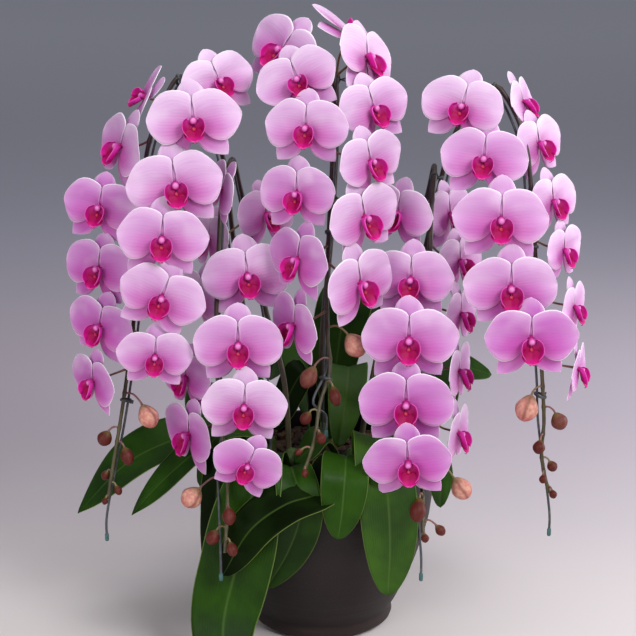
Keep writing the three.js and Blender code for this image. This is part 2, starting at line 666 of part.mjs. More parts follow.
const rooms = [];
for (const plant of SPIKES) {
  const stub = crown(plant, 0).subtract(stemRod(plant, GAP));
  place(`crown_${plant.name}`, mainBody(stub), CROWN_GREEN);
  place(`spike_${plant.name}`, spike(plant), PETAL);
  place(`stake_${plant.name}`, stake(plant), WIRE);
  rooms.push(crown(plant, GAP), stemRod(plant, 2 * GAP), stakeRod(plant, 2 * GAP));
}

// Leaves are tucked round the crowns, stems and stakes, and under the leaves before them.
LEAVES.forEach((item, i) => {
  const whole = leaf(item, 0);
  const near = rooms.filter((room) => !room.intersect(whole).isEmpty());
  const name = `leaf_${String(i + 1).padStart(2, "0")}`;
  place(name, mainBody(near.reduce((rest, room) => rest.subtract(room), whole)), LEAF);
  rooms.push(leaf(item, GAP));
});

export default orchid;
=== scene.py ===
# %% [markdown]
# # A potted moth orchid
# Five orchid plants share one dark ceramic pot. Each plant has broad leathery leaves at its
# foot and one tall flower spike, tied to a wire, that arches over and hangs forward under two
# rows of pink blooms. The plain solids of the model give every place and size. This script
# dresses them: it replaces stems, blooms and leaves with finer pieces that keep their form,
# and gives everything a finish of its own.

import math
import random

import bpy
import numpy as np
from mathutils import Matrix, Vector


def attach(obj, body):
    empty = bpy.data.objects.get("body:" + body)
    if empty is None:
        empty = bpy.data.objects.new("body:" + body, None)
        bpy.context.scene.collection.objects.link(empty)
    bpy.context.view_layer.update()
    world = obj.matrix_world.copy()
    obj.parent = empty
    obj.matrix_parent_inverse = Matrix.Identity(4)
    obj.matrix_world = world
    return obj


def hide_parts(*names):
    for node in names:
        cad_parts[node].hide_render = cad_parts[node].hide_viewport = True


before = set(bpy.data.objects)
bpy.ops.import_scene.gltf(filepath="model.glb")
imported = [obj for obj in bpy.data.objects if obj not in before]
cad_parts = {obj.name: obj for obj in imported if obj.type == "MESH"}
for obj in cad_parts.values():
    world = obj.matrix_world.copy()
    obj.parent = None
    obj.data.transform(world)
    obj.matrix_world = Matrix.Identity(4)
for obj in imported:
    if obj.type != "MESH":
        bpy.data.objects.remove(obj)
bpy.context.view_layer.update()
random.seed(11)
print("nodes in the frame:", len(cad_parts))

# %% [markdown]
# ## Reading places from the view
# The flowers of a real plant follow no formula, so each one is placed by the pixel where its
# middle is seen and by its depth. One small function turns the pair into a point: it follows
# the sight line of the pixel until it reaches that depth. The camera at the end of the script
# stands at the same eye.

# %% Millimetres, the eye and its sight lines
MM = 0.001
EYE = Vector((-5, -2058, 959))
PITCH = math.radians(15.6)
FOCAL_PX = 1775
MIDDLE_PX = 318


def at(px, py, y):
    """The point, in millimetres, on the sight line of a pixel at the depth y."""
    across = (px - MIDDLE_PX) / FOCAL_PX
    up = (MIDDLE_PX - py) / FOCAL_PX
    reach = (y - EYE.y) / (up * math.sin(PITCH) + math.cos(PITCH))
    rise = up * math.cos(PITCH) - math.sin(PITCH)
    return Vector((EYE.x + reach * across, y, EYE.z + reach * rise))


print("middle of the view at depth 0:", [round(n) for n in at(MIDDLE_PX, MIDDLE_PX, 0)])

# %% [markdown]
# ## The plants
# No rule gives this plant's own rows, so every flower is listed. Each plant has its crown, the
# foot of its wire, the stem corner up to which the wire follows the arch (stake_to), the wire's
# last points (stake_tail) and the stem's route. A bloom has its pixel, its depth, the way it
# faces in degrees (yaw, pitch, roll), its size, where 1 is 110 mm across, and its tone, from 0
# for pale to 1 for deep. The tone is partly the bloom's own depth of colour and partly painted
# light and shade: blooms in the light are given paler tones, blooms in shade deeper ones. A bud
# has its pixel, depth, length and width.

# %% Stems, blooms and buds
SPIKES = [dict(
    name="a", crown=(-70, 10), stake=(-94, -8), stake_to=21, stake_tail=[at(107, 537, -88)],
    stem=[
        (246, 330, 24), (232, 228, 36), (221, 150, 28), (185, 74, -20), (152, 132, -42),
        (140, 230, -62), (134, 318, -72), (125, 390, -80), (119, 430, -85), (111, 478, -88),
        (108, 499, -90),
    ],
    blooms=[
        (218, 80, -46, 26, 22, -14, 0.8, 0.1), (193, 119, -82, 3, 18, -4, 0.94, 0.1),
        (175, 183, -104, 5, 12, -6, 0.96, 0.2), (162, 237, -126, 3, 8, 4, 0.9, 0.45),
        (162, 296, -132, 6, 4, 22, 0.88, 0.35), (155, 355, -132, 4, 2, 5, 0.76, 0.4),
        (146, 97, 4, -80, 30, 46, 0.82, 0.5), (121, 145, -34, -58, 16, 14, 0.9, 0.4),
        (100, 206, -58, -17, 12, 6, 0.82, 0.9), (99, 267, -72, -30, 10, 4, 0.84, 0.8),
        (100, 325, -90, -32, 4, 12, 0.82, 0.85), (93, 380, -94, -50, 0, 8, 0.76, 0.9),
    ],
    buds=[
        (148, 416, -92, 30, 23), (105, 438, -84, 20, 17), (127, 456, -92, 23, 15),
        (106, 475, -80, 14, 11), (118, 490, -92, 13, 9), (105, 501, -96, 9, 7),
    ],
), dict(
    name="b", crown=(-36, -55), stake=(-62, -62), stake_to=19,
    stake_tail=[
        Vector((-118, -112, 268)), Vector((-122, -121, 250)), Vector((-120, -140, 220)),
        at(221, 577, -172),
    ],
    stem=[
        (284, 380, -34), (264, 303, 0), (243, 200, 8), (231, 158, -14), (222, 200, -50),
        (218, 270, -76), (216, 350, -98), (222, 430, -112), (228, 492, -150), (226, 530, -176),
        (225, 553, -186),
    ],
    blooms=[
        (266, 213, -22, 45, 12, 0, 0.8, 0.6), (247, 274, -82, 10, 10, -4, 0.92, 0.3),
        (238, 343, -132, 2, 8, 0, 0.91, 0.6), (244, 405, -150, 2, 6, 4, 0.86, 0.15),
        (248, 464, -168, 4, 0, 24, 0.73, 0.75), (222, 188, -62, -66, 14, 20, 0.72, 0.6),
        (209, 238, -26, -56, 10, 0, 0.78, 0.1), (200, 296, -38, -54, 8, 0, 0.8, 0.2),
        (186, 376, -62, -48, 4, 0, 0.8, 0.8), (189, 433, -84, -54, 2, 6, 0.88, 0.8),
    ],
    buds=[
        (192, 497, -140, 28, 24), (229, 516, -186, 23, 15), (213, 537, -180, 19, 15),
        (232, 549, -194, 18, 12),
    ],
), dict(
    name="c", crown=(0, 40), stake=(1, 0), stake_to=21, stake_tail=[at(326, 434, -104)],
    stem=[
        (322, 340, 38), (331, 240, 26), (337, 130, 6), (336, 74, -12), (334, 112, -40),
        (332, 170, -58), (328, 250, -76), (327, 330, -92), (329, 388, -108), (316, 412, -126),
        (316, 436, -138), (303, 458, -148), (303, 475, -156),
    ],
    blooms=[
        (283, 49, -16, -40, 26, 24, 0.94, 0.4), (297, 78, -68, -12, 20, -24, 0.84, 0.2),
        (306, 126, -102, -12, 10, 0, 0.84, 0.35), (297, 192, -112, -24, 8, -2, 0.82, 0.6),
        (298, 258, -122, -48, 8, 6, 0.86, 0.8), (294, 324, -118, -58, 4, 8, 0.86, 0.85),
        (350, 36, 30, 88, 50, 90, 1, 0.1), (367, 56, -34, 60, 20, 20, 0.94, 0.05),
        (373, 107, -72, 32, 16, -10, 0.84, 0.2), (370, 160, -104, 40, 10, -10, 0.82, 0.15),
        (364, 216, -122, 40, 6, -10, 0.9, 0.2), (360, 282, -140, 44, 4, -10, 0.92, 0.25),
    ],
    buds=[
        (355, 345, -108, 30, 25), (309, 377, -112, 28, 19), (335, 396, -124, 24, 13),
        (306, 418, -128, 17, 13), (321, 438, -146, 15, 11), (299, 452, -144, 11, 8),
        (305, 473, -162, 11, 8),
    ],
), dict(
    name="d", crown=(36, -55), stake=(60, -66), stake_to=21, stake_tail=[at(421, 577, -166)],
    stem=[
        (372, 380, -30), (388, 310, 0), (426, 200, 6), (436, 158, -16), (432, 200, -50),
        (430, 270, -78), (432, 350, -100), (432, 430, -116), (419, 490, -150), (430, 520, -170),
        (423, 533, -176),
    ],
    blooms=[
        (398, 212, -52, -34, 12, 4, 0.82, 0.35), (411, 278, -92, -12, 10, 0, 0.89, 0.5),
        (409, 338, -132, -4, 8, 0, 0.97, 0.7), (406, 402, -150, -3, 6, 0, 0.96, 0.85),
        (408, 461, -172, -2, -2, -4, 0.88, 1), (450, 213, -8, 50, 12, 0, 0.82, 0.6),
        (460, 260, -42, 50, 10, 0, 0.78, 0.55), (461, 313, -66, 62, 6, 0, 0.76, 0.6),
        (459, 370, -88, 70, 4, 0, 0.8, 0.5), (458, 432, -100, 70, 0, 0, 0.8, 0.4),
    ],
    buds=[
        (461, 488, -128, 30, 23), (418, 510, -178, 29, 18), (440, 530, -172, 15, 11),
        (425, 538, -182, 11, 9),
    ],
), dict(
    name="e", crown=(70, 10), stake=(94, -8), stake_to=21, stake_tail=[at(549, 532, -90)],
    stem=[
        (408, 330, 14), (432, 220, 20), (457, 130, 2), (494, 86, -22), (522, 130, -44),
        (532, 200, -62), (536, 270, -74), (541, 360, -84), (544, 420, -89), (541, 450, -91),
        (549, 493, -93),
    ],
    blooms=[
        (463, 105, -58, -16, 20, 10, 0.86, 0.15), (484, 157, -88, -7, 16, 4, 0.88, 0.5),
        (501, 218, -116, 0, 10, 2, 0.95, 0.55), (511, 286, -130, 0, 6, 0, 0.94, 0.4),
        (531, 338, -148, 3, 2, 0, 0.93, 0.9), (523, 101, -4, 70, 20, 0, 0.76, 0.1),
        (539, 142, -32, 48, 14, -6, 0.8, 0.2), (553, 200, -52, 46, 10, -4, 0.78, 0.25),
        (564, 249, -66, 54, 6, 0, 0.72, 0.35), (574, 306, -74, 64, 4, 0, 0.72, 0.4),
        (578, 368, -80, 72, 0, 0, 0.74, 0.6),
    ],
    buds=[
        (527, 408, -94, 33, 26), (559, 421, -92, 22, 19), (539, 447, -106, 17, 14),
        (552, 466, -96, 14, 12), (543, 479, -104, 11, 9), (553, 494, -102, 11, 9),
    ],
)]
print("blooms:", sum(len(plant["blooms"]) for plant in SPIKES))
print("buds:", sum(len(plant["buds"]) for plant in SPIKES))

# %% [markdown]
# ## Curves that follow the plant
# A stem is a smooth curve through its route. The curve used here passes through every point
# and spaces its bends by the square root of the distances, so that it never loops between two
# points that lie close. Walking it by length gives evenly spaced corners.

# %% A smooth curve and its even steps
FINE_STEPS = 200


def curve_point(points, share):
    """The point at a share of the way, counted in stretches of the route."""
    place = (len(points) - 1) * share
    i = min(int(place), len(points) - 2)
    w = place - i
    b, c = points[i], points[i + 1]
    a = points[i - 1] if i > 0 else b * 2 - c
    d = points[i + 2] if i + 2 < len(points) else c * 2 - b
    ab, bc, cd = ((q - p).length ** 0.5 for p, q in ((a, b), (b, c), (c, d)))
    leave = ((b - a) / ab - (c - a) / (ab + bc) + (c - b) / bc) * bc
    reach = ((c - b) / bc - (d - b) / (bc + cd) + (d - c) / cd) * bc
    square, cube = w * w, w * w * w
    return (
        b * (2 * cube - 3 * square + 1) + leave * (cube - 2 * square + w)
        + c * (3 * square - 2 * cube) + reach * (cube - square)
    )


def even_points(points, count):
    """count + 1 points on the smooth curve, evenly spaced along it."""
    fine = [curve_point(points, i / FINE_STEPS) for i in range(FINE_STEPS + 1)]
    lengths = [0.0]
    for p, q in zip(fine, fine[1:]):
        lengths.append(lengths[-1] + (q - p).length)
    found = []
    for k in range(count + 1):
        target = lengths[-1] * k / count
        i = min(max(np.searchsorted(lengths, target) - 1, 0), FINE_STEPS - 1)
        part = (target - lengths[i]) / (lengths[i + 1] - lengths[i])
        found.append(curve_point(points, (i + part) / FINE_STEPS))
    return found


STEM_STEPS = 22
STEM_FOOT = Vector((0, 5, 204))
STEM_SPREAD = 1.08


def stem_corners(plant):
    x, y = plant["crown"]
    foot = STEM_FOOT + Vector((x * STEM_SPREAD, y, 0))
    return even_points([foot, *(at(*place) for place in plant["stem"])], STEM_STEPS)


for plant in SPIKES:
    plant["corners"] = stem_corners(plant)
print("stem lengths in mm:", [
    round(sum((q - p).length for p, q in zip(plant["corners"], plant["corners"][1:])))
    for plant in SPIKES
])

# %% [markdown]
# ## Starting a piece
# Every thin part of the plant starts as a flat grid. The grid gives it even faces and a UV map
# that runs from 0 to 1 across and along it, and its corners are then moved to where the petal or
# leaf has them, as a sculptor would pull a sheet into shape. Solidify gives it a thickness.
# Round stems are curves with a bevel, turned into meshes. Everything is made in millimetres and
# brought to metres at the end.

# %% Sheets, rods and how pieces are finished
def only(*pieces):
    """Selects these pieces alone, the first one active."""
    bpy.ops.object.select_all(action="DESELECT")
    for piece in pieces:
        piece.select_set(True)
    bpy.context.view_layer.objects.active = pieces[0]


def applied(piece, kind, **settings):
    """Adds a modifier, sets it and applies it."""
    only(piece)
    modifier = piece.modifiers.new(kind.title(), kind)
    for name, value in settings.items():
        setattr(modifier, name, value)
    bpy.ops.object.modifier_apply(modifier=modifier.name)
    return piece


def added(primitive, **settings):
    """Adds a primitive with everything else deselected."""
    bpy.ops.object.select_all(action="DESELECT")
    primitive(**settings)
    return bpy.context.object


def sheet(name, across, along, place, thickness, rim=None):
    """A grid pulled into shape by place(u, v) and given a thickness on its under side."""
    piece = added(bpy.ops.mesh.primitive_grid_add, x_subdivisions=across, y_subdivisions=along,
                  size=2)
    piece.name = name
    thin = piece.vertex_groups.new(name="thickness")
    for corner in piece.data.vertices:
        u, v = (corner.co.x + 1) / 2, (corner.co.y + 1) / 2
        corner.co = place(u, v)
        thin.add([corner.index], 1.0 if rim is None else rim(u, v), "REPLACE")
    bpy.ops.object.mode_set(mode="EDIT")
    bpy.ops.mesh.select_all(action="SELECT")
    bpy.ops.mesh.remove_doubles(threshold=0.01)
    bpy.ops.object.mode_set(mode="OBJECT")
    applied(piece, "SOLIDIFY", thickness=thickness, offset=-1, vertex_group="thickness")
    piece.vertex_groups.clear()
    bpy.ops.object.shade_smooth()
    return piece


def rods(name, runs, sides=2):
    """Round rods as one mesh. Each run is a list of points and one of radii."""
    shape = bpy.data.curves.new(name, "CURVE")
    shape.dimensions = "3D"
    shape.bevel_depth = 1
    shape.bevel_resolution = sides
    shape.use_fill_caps = True
    for points, radii in runs:
        run = shape.splines.new("POLY")
        run.points.add(len(points) - 1)
        for corner, point, radius in zip(run.points, points, radii):
            corner.co = (*point, 1)
            corner.radius = radius
    piece = bpy.data.objects.new(name, shape)
    bpy.context.collection.objects.link(piece)
    only(piece)
    bpy.ops.object.convert(target="MESH")
    piece = bpy.context.object
    bpy.ops.object.shade_smooth_by_angle(angle=math.radians(50))
    return piece


def joined(name, pieces):
    """The pieces as one mesh under one name."""
    only(*pieces)
    if len(pieces) > 1:
        bpy.ops.object.join()
    piece = bpy.context.object
    piece.name = piece.data.name = name
    return piece


def corners_of(mesh):
    found = np.empty(len(mesh.vertices) * 3)
    mesh.vertices.foreach_get("co", found)
    return found.reshape(-1, 3)


def noted(mesh, name, values, kind="FLOAT"):
    """Writes a value or a vector for each corner, which a material can read by its name."""
    note = mesh.attributes.new(name, kind, "POINT")
    note.data.foreach_set("value" if kind == "FLOAT" else "vector", np.ravel(values))


def in_metres(piece, *nodes, slot, finish):
    """Brings a piece to metres, dresses it and lets it stand for its nodes."""
    piece.data.transform(Matrix.Scale(MM, 4))
    piece.data.materials.clear()
    piece.data.materials.append(finish)
    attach(piece, "root")
    if nodes:
        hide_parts(*nodes)
    print(piece.name, len(piece.data.polygons), "faces")


print("helpers ready: sheet, rods, joined")

# %% [markdown]
# ## Writing a finish as an expression
# A material is a chain of small nodes. Written out one by one they are hard to read, so a
# socket is wrapped in a class with Python's operators: adding two sockets adds the Math node
# that does it. Colours go through Mix nodes, because a Math node would turn them grey. A finish
# is painted as on a bench: a base, then thin coats, each with the share that it covers.

# %% Sockets that can be added, multiplied and mixed
def paint(*colour):
    """A colour as seen in a picture, 0 to 255, as the linear one that a shader takes."""
    def linear(n):
        n /= 255
        return n / 12.92 if n <= 0.04045 else ((n + 0.055) / 1.055) ** 2.4
    return (*map(linear, colour), 1)


class Socket:
    """What comes out of a node. Python's operators on it add Math nodes."""

    def __init__(self, finish, link):
        self.finish, self.link = finish, link

    def math(self, operation, *values):
        return self.finish.math(operation, self, *values)

    def __add__(self, value):
        return self.math("ADD", value)

    def __sub__(self, value):
        return self.math("SUBTRACT", value)

    def __rsub__(self, value):
        return self.finish.math("SUBTRACT", value, self)

    def __mul__(self, value):
        return self.math("MULTIPLY", value)

    def __pow__(self, value):
        return self.math("POWER", value)

    __radd__, __rmul__ = __add__, __mul__

    def between(self, low, high):
        """0 under low, 1 over high, and a smooth step between them."""
        settings = {"interpolation_type": "SMOOTHSTEP"}
        inputs = {"Value": self, "From Min": low, "From Max": high}
        return self.finish.node("ShaderNodeMapRange", settings, inputs)


class Finish:
    """A material with one principled shader, and the nodes that feed it."""

    def __init__(self, name, **constants):
        self.material = bpy.data.materials.new(name)
        self.material.use_nodes = True
        self.nodes = self.material.node_tree.nodes
        self.shader = self.nodes["Principled BSDF"]
        for socket, value in constants.items():
            label = socket.replace("_", " ").title().replace("Ior", "IOR")
            self.shader.inputs[label].default_value = value

    def node(self, kind, settings=None, inputs=None, output=0):
        made = self.nodes.new(kind)
        for name, value in (settings or {}).items():
            setattr(made, name, value)
        for name, value in (inputs or {}).items():
            self.feed(made.inputs[name], value)
        return Socket(self, made.outputs[output])

    def feed(self, socket, value):
        if isinstance(value, Socket):
            self.material.node_tree.links.new(value.link, socket)
        else:
            socket.default_value = value

    def math(self, operation, *values):
        return self.node("ShaderNodeMath", {"operation": operation}, dict(enumerate(values)))

    def mix(self, share, low, high):
        """From one colour to another by a share from 0 to 1."""
        low, high = (paint(*n) if isinstance(n, tuple) else n for n in (low, high))
        settings = {"data_type": "RGBA", "clamp_factor": True}
        return self.node("ShaderNodeMix", settings, {0: share, 6: low, 7: high}, output=2)

    def coats(self, colour, *coats):
        """A colour under coats, each with its share and its own colour."""
        for share, coat in coats:
            colour = self.mix(share, colour, coat)
        return colour

    def object_place(self):
        return self.node("ShaderNodeTexCoord", output=3)

    def uv(self):
        return self.split(self.node("ShaderNodeTexCoord", output=2))

    def value(self, name):
        return self.node("ShaderNodeAttribute", {"attribute_name": name}, output=2)

    def vector(self, name):
        return self.node("ShaderNodeAttribute", {"attribute_name": name}, output=1)

    def split(self, vector):
        parts = self.node("ShaderNodeSeparateXYZ", inputs={0: vector})
        return [Socket(self, out) for out in parts.link.node.outputs]

    def joined(self, x, y, z):
        return self.node("ShaderNodeCombineXYZ", inputs={0: x, 1: y, 2: z})

    def noise(self, vector, scale, detail=3.0):
        inputs = {"Vector": vector, "Scale": scale, "Detail": detail}
        return self.node("ShaderNodeTexNoise", inputs=inputs)

    def colour(self, base, *coats):
        self.feed(self.shader.inputs["Base Color"], self.coats(base, *coats))

    def roughness(self, value):
        self.feed(self.shader.inputs["Roughness"], value)

    def relief(self, height, distance, strength=1.0):
        """Bump from a height between 0 and 1 and the depth that it stands for, in metres."""
        inputs = {"Height": height, "Distance": distance, "Strength": strength}
        self.feed(self.shader.inputs["Normal"], self.node("ShaderNodeBump", inputs=inputs))

    def done(self):
        print("finish", self.material.name, "has", len(self.nodes), "nodes")
        return self.material


print("a mid grey in a shader's terms:", round(paint(128, 128, 128)[0], 3))

# %% [markdown]
# ## Petal and lip finishes
# Moth orchid petals are matt and slightly translucent, a lavender pink that pales to the
# margins, deepens beside the lip and is drawn over with faint veins that fan out from the claw.
# One picture wrapped round each petal would make all look alike. So the fan comes from the UV
# map, the flush from the place on the bloom's face, kept as an attribute, and soft clouds and
# the depth of colour from each bloom's own tone, which is partly painted light and shade.

# %% Petal finish
def petal_finish():
    finish = Finish("petal", roughness=0.5, sheen_weight=0.08, subsurface_weight=0.2,
                    subsurface_radius=(0.006, 0.003, 0.005), subsurface_scale=1.0)
    place = finish.vector("on_face")
    x, y, _ = finish.split(place)
    u, v, _ = finish.uv()
    # The tone is partly painted light and shade: a bloom in the light is paler, one in shade
    # deeper.
    tone = finish.value("tone")
    from_lip = (x * x * 0.4 + (y + 0.3) * (y + 0.3)) ** 0.5
    flush = (1 - from_lip.between(0.1, 0.7)) ** 1.3
    low = 1 - y.between(-0.45, 0.35)
    outer = ((u - 0.5) * 2).math("ABSOLUTE").math("MAXIMUM", v)
    branch = finish.noise(finish.joined(u * 40, v * 2.6, tone * 9), 1.3).between(0.4, 0.65)
    cloud = finish.noise(finish.joined(x * 1.4, y * 1.4, tone * 30), 1.1, detail=1)
    fan = (u + (finish.noise(place, 2.6) - 0.5) * 0.12) * 96
    vein = (fan.math("SINE") * 0.5 + 0.5) ** 2
    vein = vein * (1 - outer.between(0.7, 1.0)) * (0.2 + 0.8 * flush)
    finish.colour(
        finish.mix(tone, (215, 180, 216), (182, 92, 178)),
        (low * (0.35 + 0.3 * tone), (186, 80, 180)),
        (branch * 0.25, (198, 116, 194)),
        (cloud.between(0.5, 0.8) * 0.3, (242, 222, 242)),
        ((1 - cloud.between(0.2, 0.5)) * 0.25, (184, 84, 178)),
        (outer.between(0.5, 1.0) * (0.55 - 0.2 * tone), (238, 212, 238)),
        (outer.between(0.95, 0.99) * 0.9, (252, 240, 252)),
        (flush * 0.85, (182, 48, 152)),
        (vein * 0.22, (160, 50, 146)),
    )
    finish.relief(vein * 0.16 + cloud * 0.6 + finish.noise(place, 24) * 0.15, 0.0014, 0.4)
    return finish.done()


PETAL = petal_finish()

# %% [markdown]
# The lip is deep crimson in the throat and magenta on the lobes, with a red callus where they
# meet and a painted highlight, pale pink, at the tip of the middle lobe. The column above it is
# pink and pales to its cap, which carries a painted highlight on its top. They could be four
# materials, but one that reads an attribute keeps the lip a single mesh: 0 for the side lobes,
# 1 for the middle lobe, 2 for the callus and 3 for the column.

# %% Lip finish
def lip_finish():
    finish = Finish("lip", roughness=0.5, specular_ior_level=0.12, subsurface_weight=0.06,
                    subsurface_radius=(0.004, 0.001, 0.002), subsurface_scale=1.0)
    place = finish.vector("on_face")
    _, y, z = finish.split(place)
    u, v, _ = finish.uv()
    part = finish.value("part")
    streak = (u * 44).math("SINE").between(0.7, 1.0) * (1 - v.between(0.1, 0.45))
    lobe = finish.coats(
        finish.mix(v.between(0.3, 0.95), (160, 2, 82), (204, 14, 132)),
        (finish.noise(place, 9).between(0.45, 0.7) * 0.5, (128, 2, 62)),
        (streak * 0.15, (190, 36, 70)),
        # Painted highlight: the tip of the middle lobe is paler pink.
        (v.between(0.84, 1.0) * 0.6, (222, 112, 180)),
    )
    ear = finish.coats(
        finish.mix(v.between(0.4, 0.9), (156, 2, 80), (198, 22, 140)),
        (y.between(-0.24, -0.02) * 0.7, (196, 56, 158)),
        (v.between(0.93, 1.0) * 0.5, (226, 120, 200)),
    )
    speck = finish.noise(place, 42).between(0.56, 0.6)
    callus = finish.mix(speck, (198, 70, 92), (150, 10, 60))
    column = finish.coats(
        finish.mix(z.between(0.03, 0.18), (164, 22, 108), (206, 84, 172)),
        # Painted highlight: a pale band on top of the column's cap.
        (z.between(0.17, 0.2) * 0.5, (238, 178, 224)),
    )
    finish.colour(
        ear,
        ((part - 0.5).between(-0.1, 0.1), lobe),
        ((part - 1.5).between(-0.1, 0.1), callus),
        ((part - 2.5).between(-0.1, 0.1), column),
    )
    finish.relief(finish.noise(place, 30), 0.0004, 0.4)
    return finish.done()


LIP = lip_finish()

# %% [markdown]
# ## One bloom
# A moth orchid bloom has three narrow sepals behind and two broad petals in front, which leave
# the column on a narrow claw and open at once to nearly a half disc. Cut from a disc they would
# lose the claw, so a petal is a sheet drawn between an upper and a lower edge, both smooth
# curves through a few points in millimetres from the column. A sepal is a strip along its
# middle line.

# %% Petals and sepals
HALF_BLOOM = 56
PETAL_THICKNESS = 0.8
UPPER_EDGE = [(2, -2), (2.2, 6), (1.8, 14), (0.6, 22), (1.6, 28), (9, 33), (20, 35.5), (32, 33.5),
              (43, 27), (51, 17.5), (55.5, 8), (56.5, 1)]
LOWER_EDGE = [(2, -4), (6, -8), (10, -13), (14, -19), (20, -24.5), (27, -27.5), (35, -28.5),
              (43, -25.5), (50, -18.5), (54, -11), (56, -4), (56.5, 1)]
DORSAL_ROUTE = [(0, 2), (0, 18), (0, 35), (0, 49.5)]
LATERAL_ROUTE = [(2.5, -4), (13, -18), (26, -31), (39, -45)]


def bowed(x, y, front):
    """How far a point stands forward: petals bow out, sepals lie back."""
    reach = math.hypot(x, y) / HALF_BLOOM
    return 11 * reach * (1 - reach) if front else -2.4 * reach - 4.5 * reach * reach


def petal_place(side):
    """A petal, rippled along its edge, with a crease at its claw and a soft fold above it."""
    upper, lower = ([Vector((*point, 0)) for point in edge] for edge in (UPPER_EDGE, LOWER_EDGE))

    def place(u, v):
        across = u if side > 0 else 1 - u
        low, high = curve_point(lower, v), curve_point(upper, v)
        x, y, _ = low.lerp(high, 1 - across)
        ripple = 1.2 * v * math.sin(7 * across + 2) * max(0, math.sin(math.pi * v)) ** 0.5
        crease = -2.0 * math.exp(-((across - 0.52) * 6) ** 2) * (1 - v) ** 0.8
        fold = 1.3 * math.exp(-((across - 0.3) * 7) ** 2) * math.sin(math.pi * v) ** 2
        return Vector((side * x, y, bowed(x, y, True) + ripple + crease + fold))

    return place


def sepal_place(route, half_width, point):
    """A sepal on a route out from the column, domed across and narrowing to its tip."""
    route = [Vector((*place, 0)) for place in route]

    def place(u, v):
        v = 1 - (1 - v) ** 1.35  # the rows crowd to the tip, which keeps it round
        middle = curve_point(route, v)
        along = curve_point(route, min(v + 0.02, 1)) - curve_point(route, max(v - 0.02, 0))
        side = Vector((along.y, -along.x, 0)).normalized()
        swell = 0.26 + 0.74 * math.sin(math.pi / 2 * min(1, v / 0.62))
        past = max(0, (v - 0.55) / 0.45)
        half = half_width * swell * max(0, 1 - past * past) ** point
        x, y, _ = middle + side * half * (2 * u - 1)
        dome = 1.6 * (1 - (2 * u - 1) ** 2) * math.sin(math.pi * min(1, v + 0.1))
        return Vector((x, y, bowed(x, y, False) + dome - 1.2))

    return place


def face_parts():
    left = [(-x, y) for x, y in LATERAL_ROUTE]
    return [
        sheet("petal_right", 20, 18, petal_place(1), PETAL_THICKNESS),
        sheet("petal_left", 20, 18, petal_place(-1), PETAL_THICKNESS),
        sheet("sepal_top", 12, 12, sepal_place(DORSAL_ROUTE, 17.5, 0.65), PETAL_THICKNESS),
        sheet("sepal_right", 12, 12, sepal_place(LATERAL_ROUTE, 16, 0.95), PETAL_THICKNESS),
        sheet("sepal_left", 12, 12, sepal_place(left, 16, 0.95), PETAL_THICKNESS),
    ]


BLOOM_FACE = joined("bloom_face", face_parts())
noted(BLOOM_FACE.data, "on_face", corners_of(BLOOM_FACE.data) / HALF_BLOOM, "FLOAT_VECTOR")
print("bloom face:", len(BLOOM_FACE.data.polygons), "faces")

# %% [markdown]
# The lip hangs from the foot of the column. Its side lobes stand up and curl forward like two
# cupped hands, and its middle lobe runs down to a point with two thin tendrils. All are sheets
# between curves of their own. The column is a short pillar with a rounded cap. A sphere on a
# cylinder would show a joint, so it is a circle drawn up ring by ring and closed at its top, as
# are the callus and the crowns. The feet, deep in the bloom, stay open.

# %% Lip and column
EAR_INNER = [(-0.8, -4, 2.0), (-1.0, -10, 3.5), (-1.4, -16, 5.5)]
EAR_OUTER = [(-7, 1, 9.5), (-13, -2.5, 14), (-15.4, -9.5, 17), (-14.4, -17, 18.5), (-9.5, -24, 17)]
LOBE_ROUTE = [(0, -14, 5), (0, -20.5, 8.5), (0, -26.2, 11.8), (0, -30.6, 15)]
LOBE_HALF_WIDTHS = [6.5, 10.5, 12.4, 12.2, 10.4, 7.2, 2.8]
COLUMN_PROFILE = [(-1, 4.2), (2, 3.9), (5, 3.8), (7.5, 4.2), (9.2, 4.1), (10.4, 3.1), (11, 1.4)]
CALLUS_PROFILE = [(0, 2.2), (1.4, 2.2), (2.4, 1.6), (2.9, 0.7)]
TENDRIL_ROUTE = [(0.6, -30, 14), (1.6, -31.2, 13.4), (2.8, -31, 12.4), (3.2, -29.8, 11.8)]
TENDRIL_STEPS = 10


def ear_place(side):
    inner = [Vector(place) for place in EAR_INNER]
    outer = [Vector(place) for place in EAR_OUTER]

    def place(u, v):
        down = u if side < 0 else 1 - u
        point = curve_point(inner, down).lerp(curve_point(outer, down), v)
        cup = math.sin(math.pi * v)
        point += Vector((-3.0, 0.6, -2.6)) * cup
        point.x += 5.0 * max(0, v - 0.7)
        return Vector((-side * point.x, point.y, point.z)) if side > 0 else point

    return place


def lobe_place(u, v):
    route = [Vector(place) for place in LOBE_ROUTE]
    middle = curve_point(route, v)
    half = np.interp(v, np.linspace(0, 1, len(LOBE_HALF_WIDTHS)), LOBE_HALF_WIDTHS)
    across = 1 - 2 * u
    lift = 3.0 * across * across * (1 - 0.6 * v) - 0.8 * math.exp(-(across * 4) ** 2)
    return middle + Vector((-across * half, 0.5 * lift, lift))


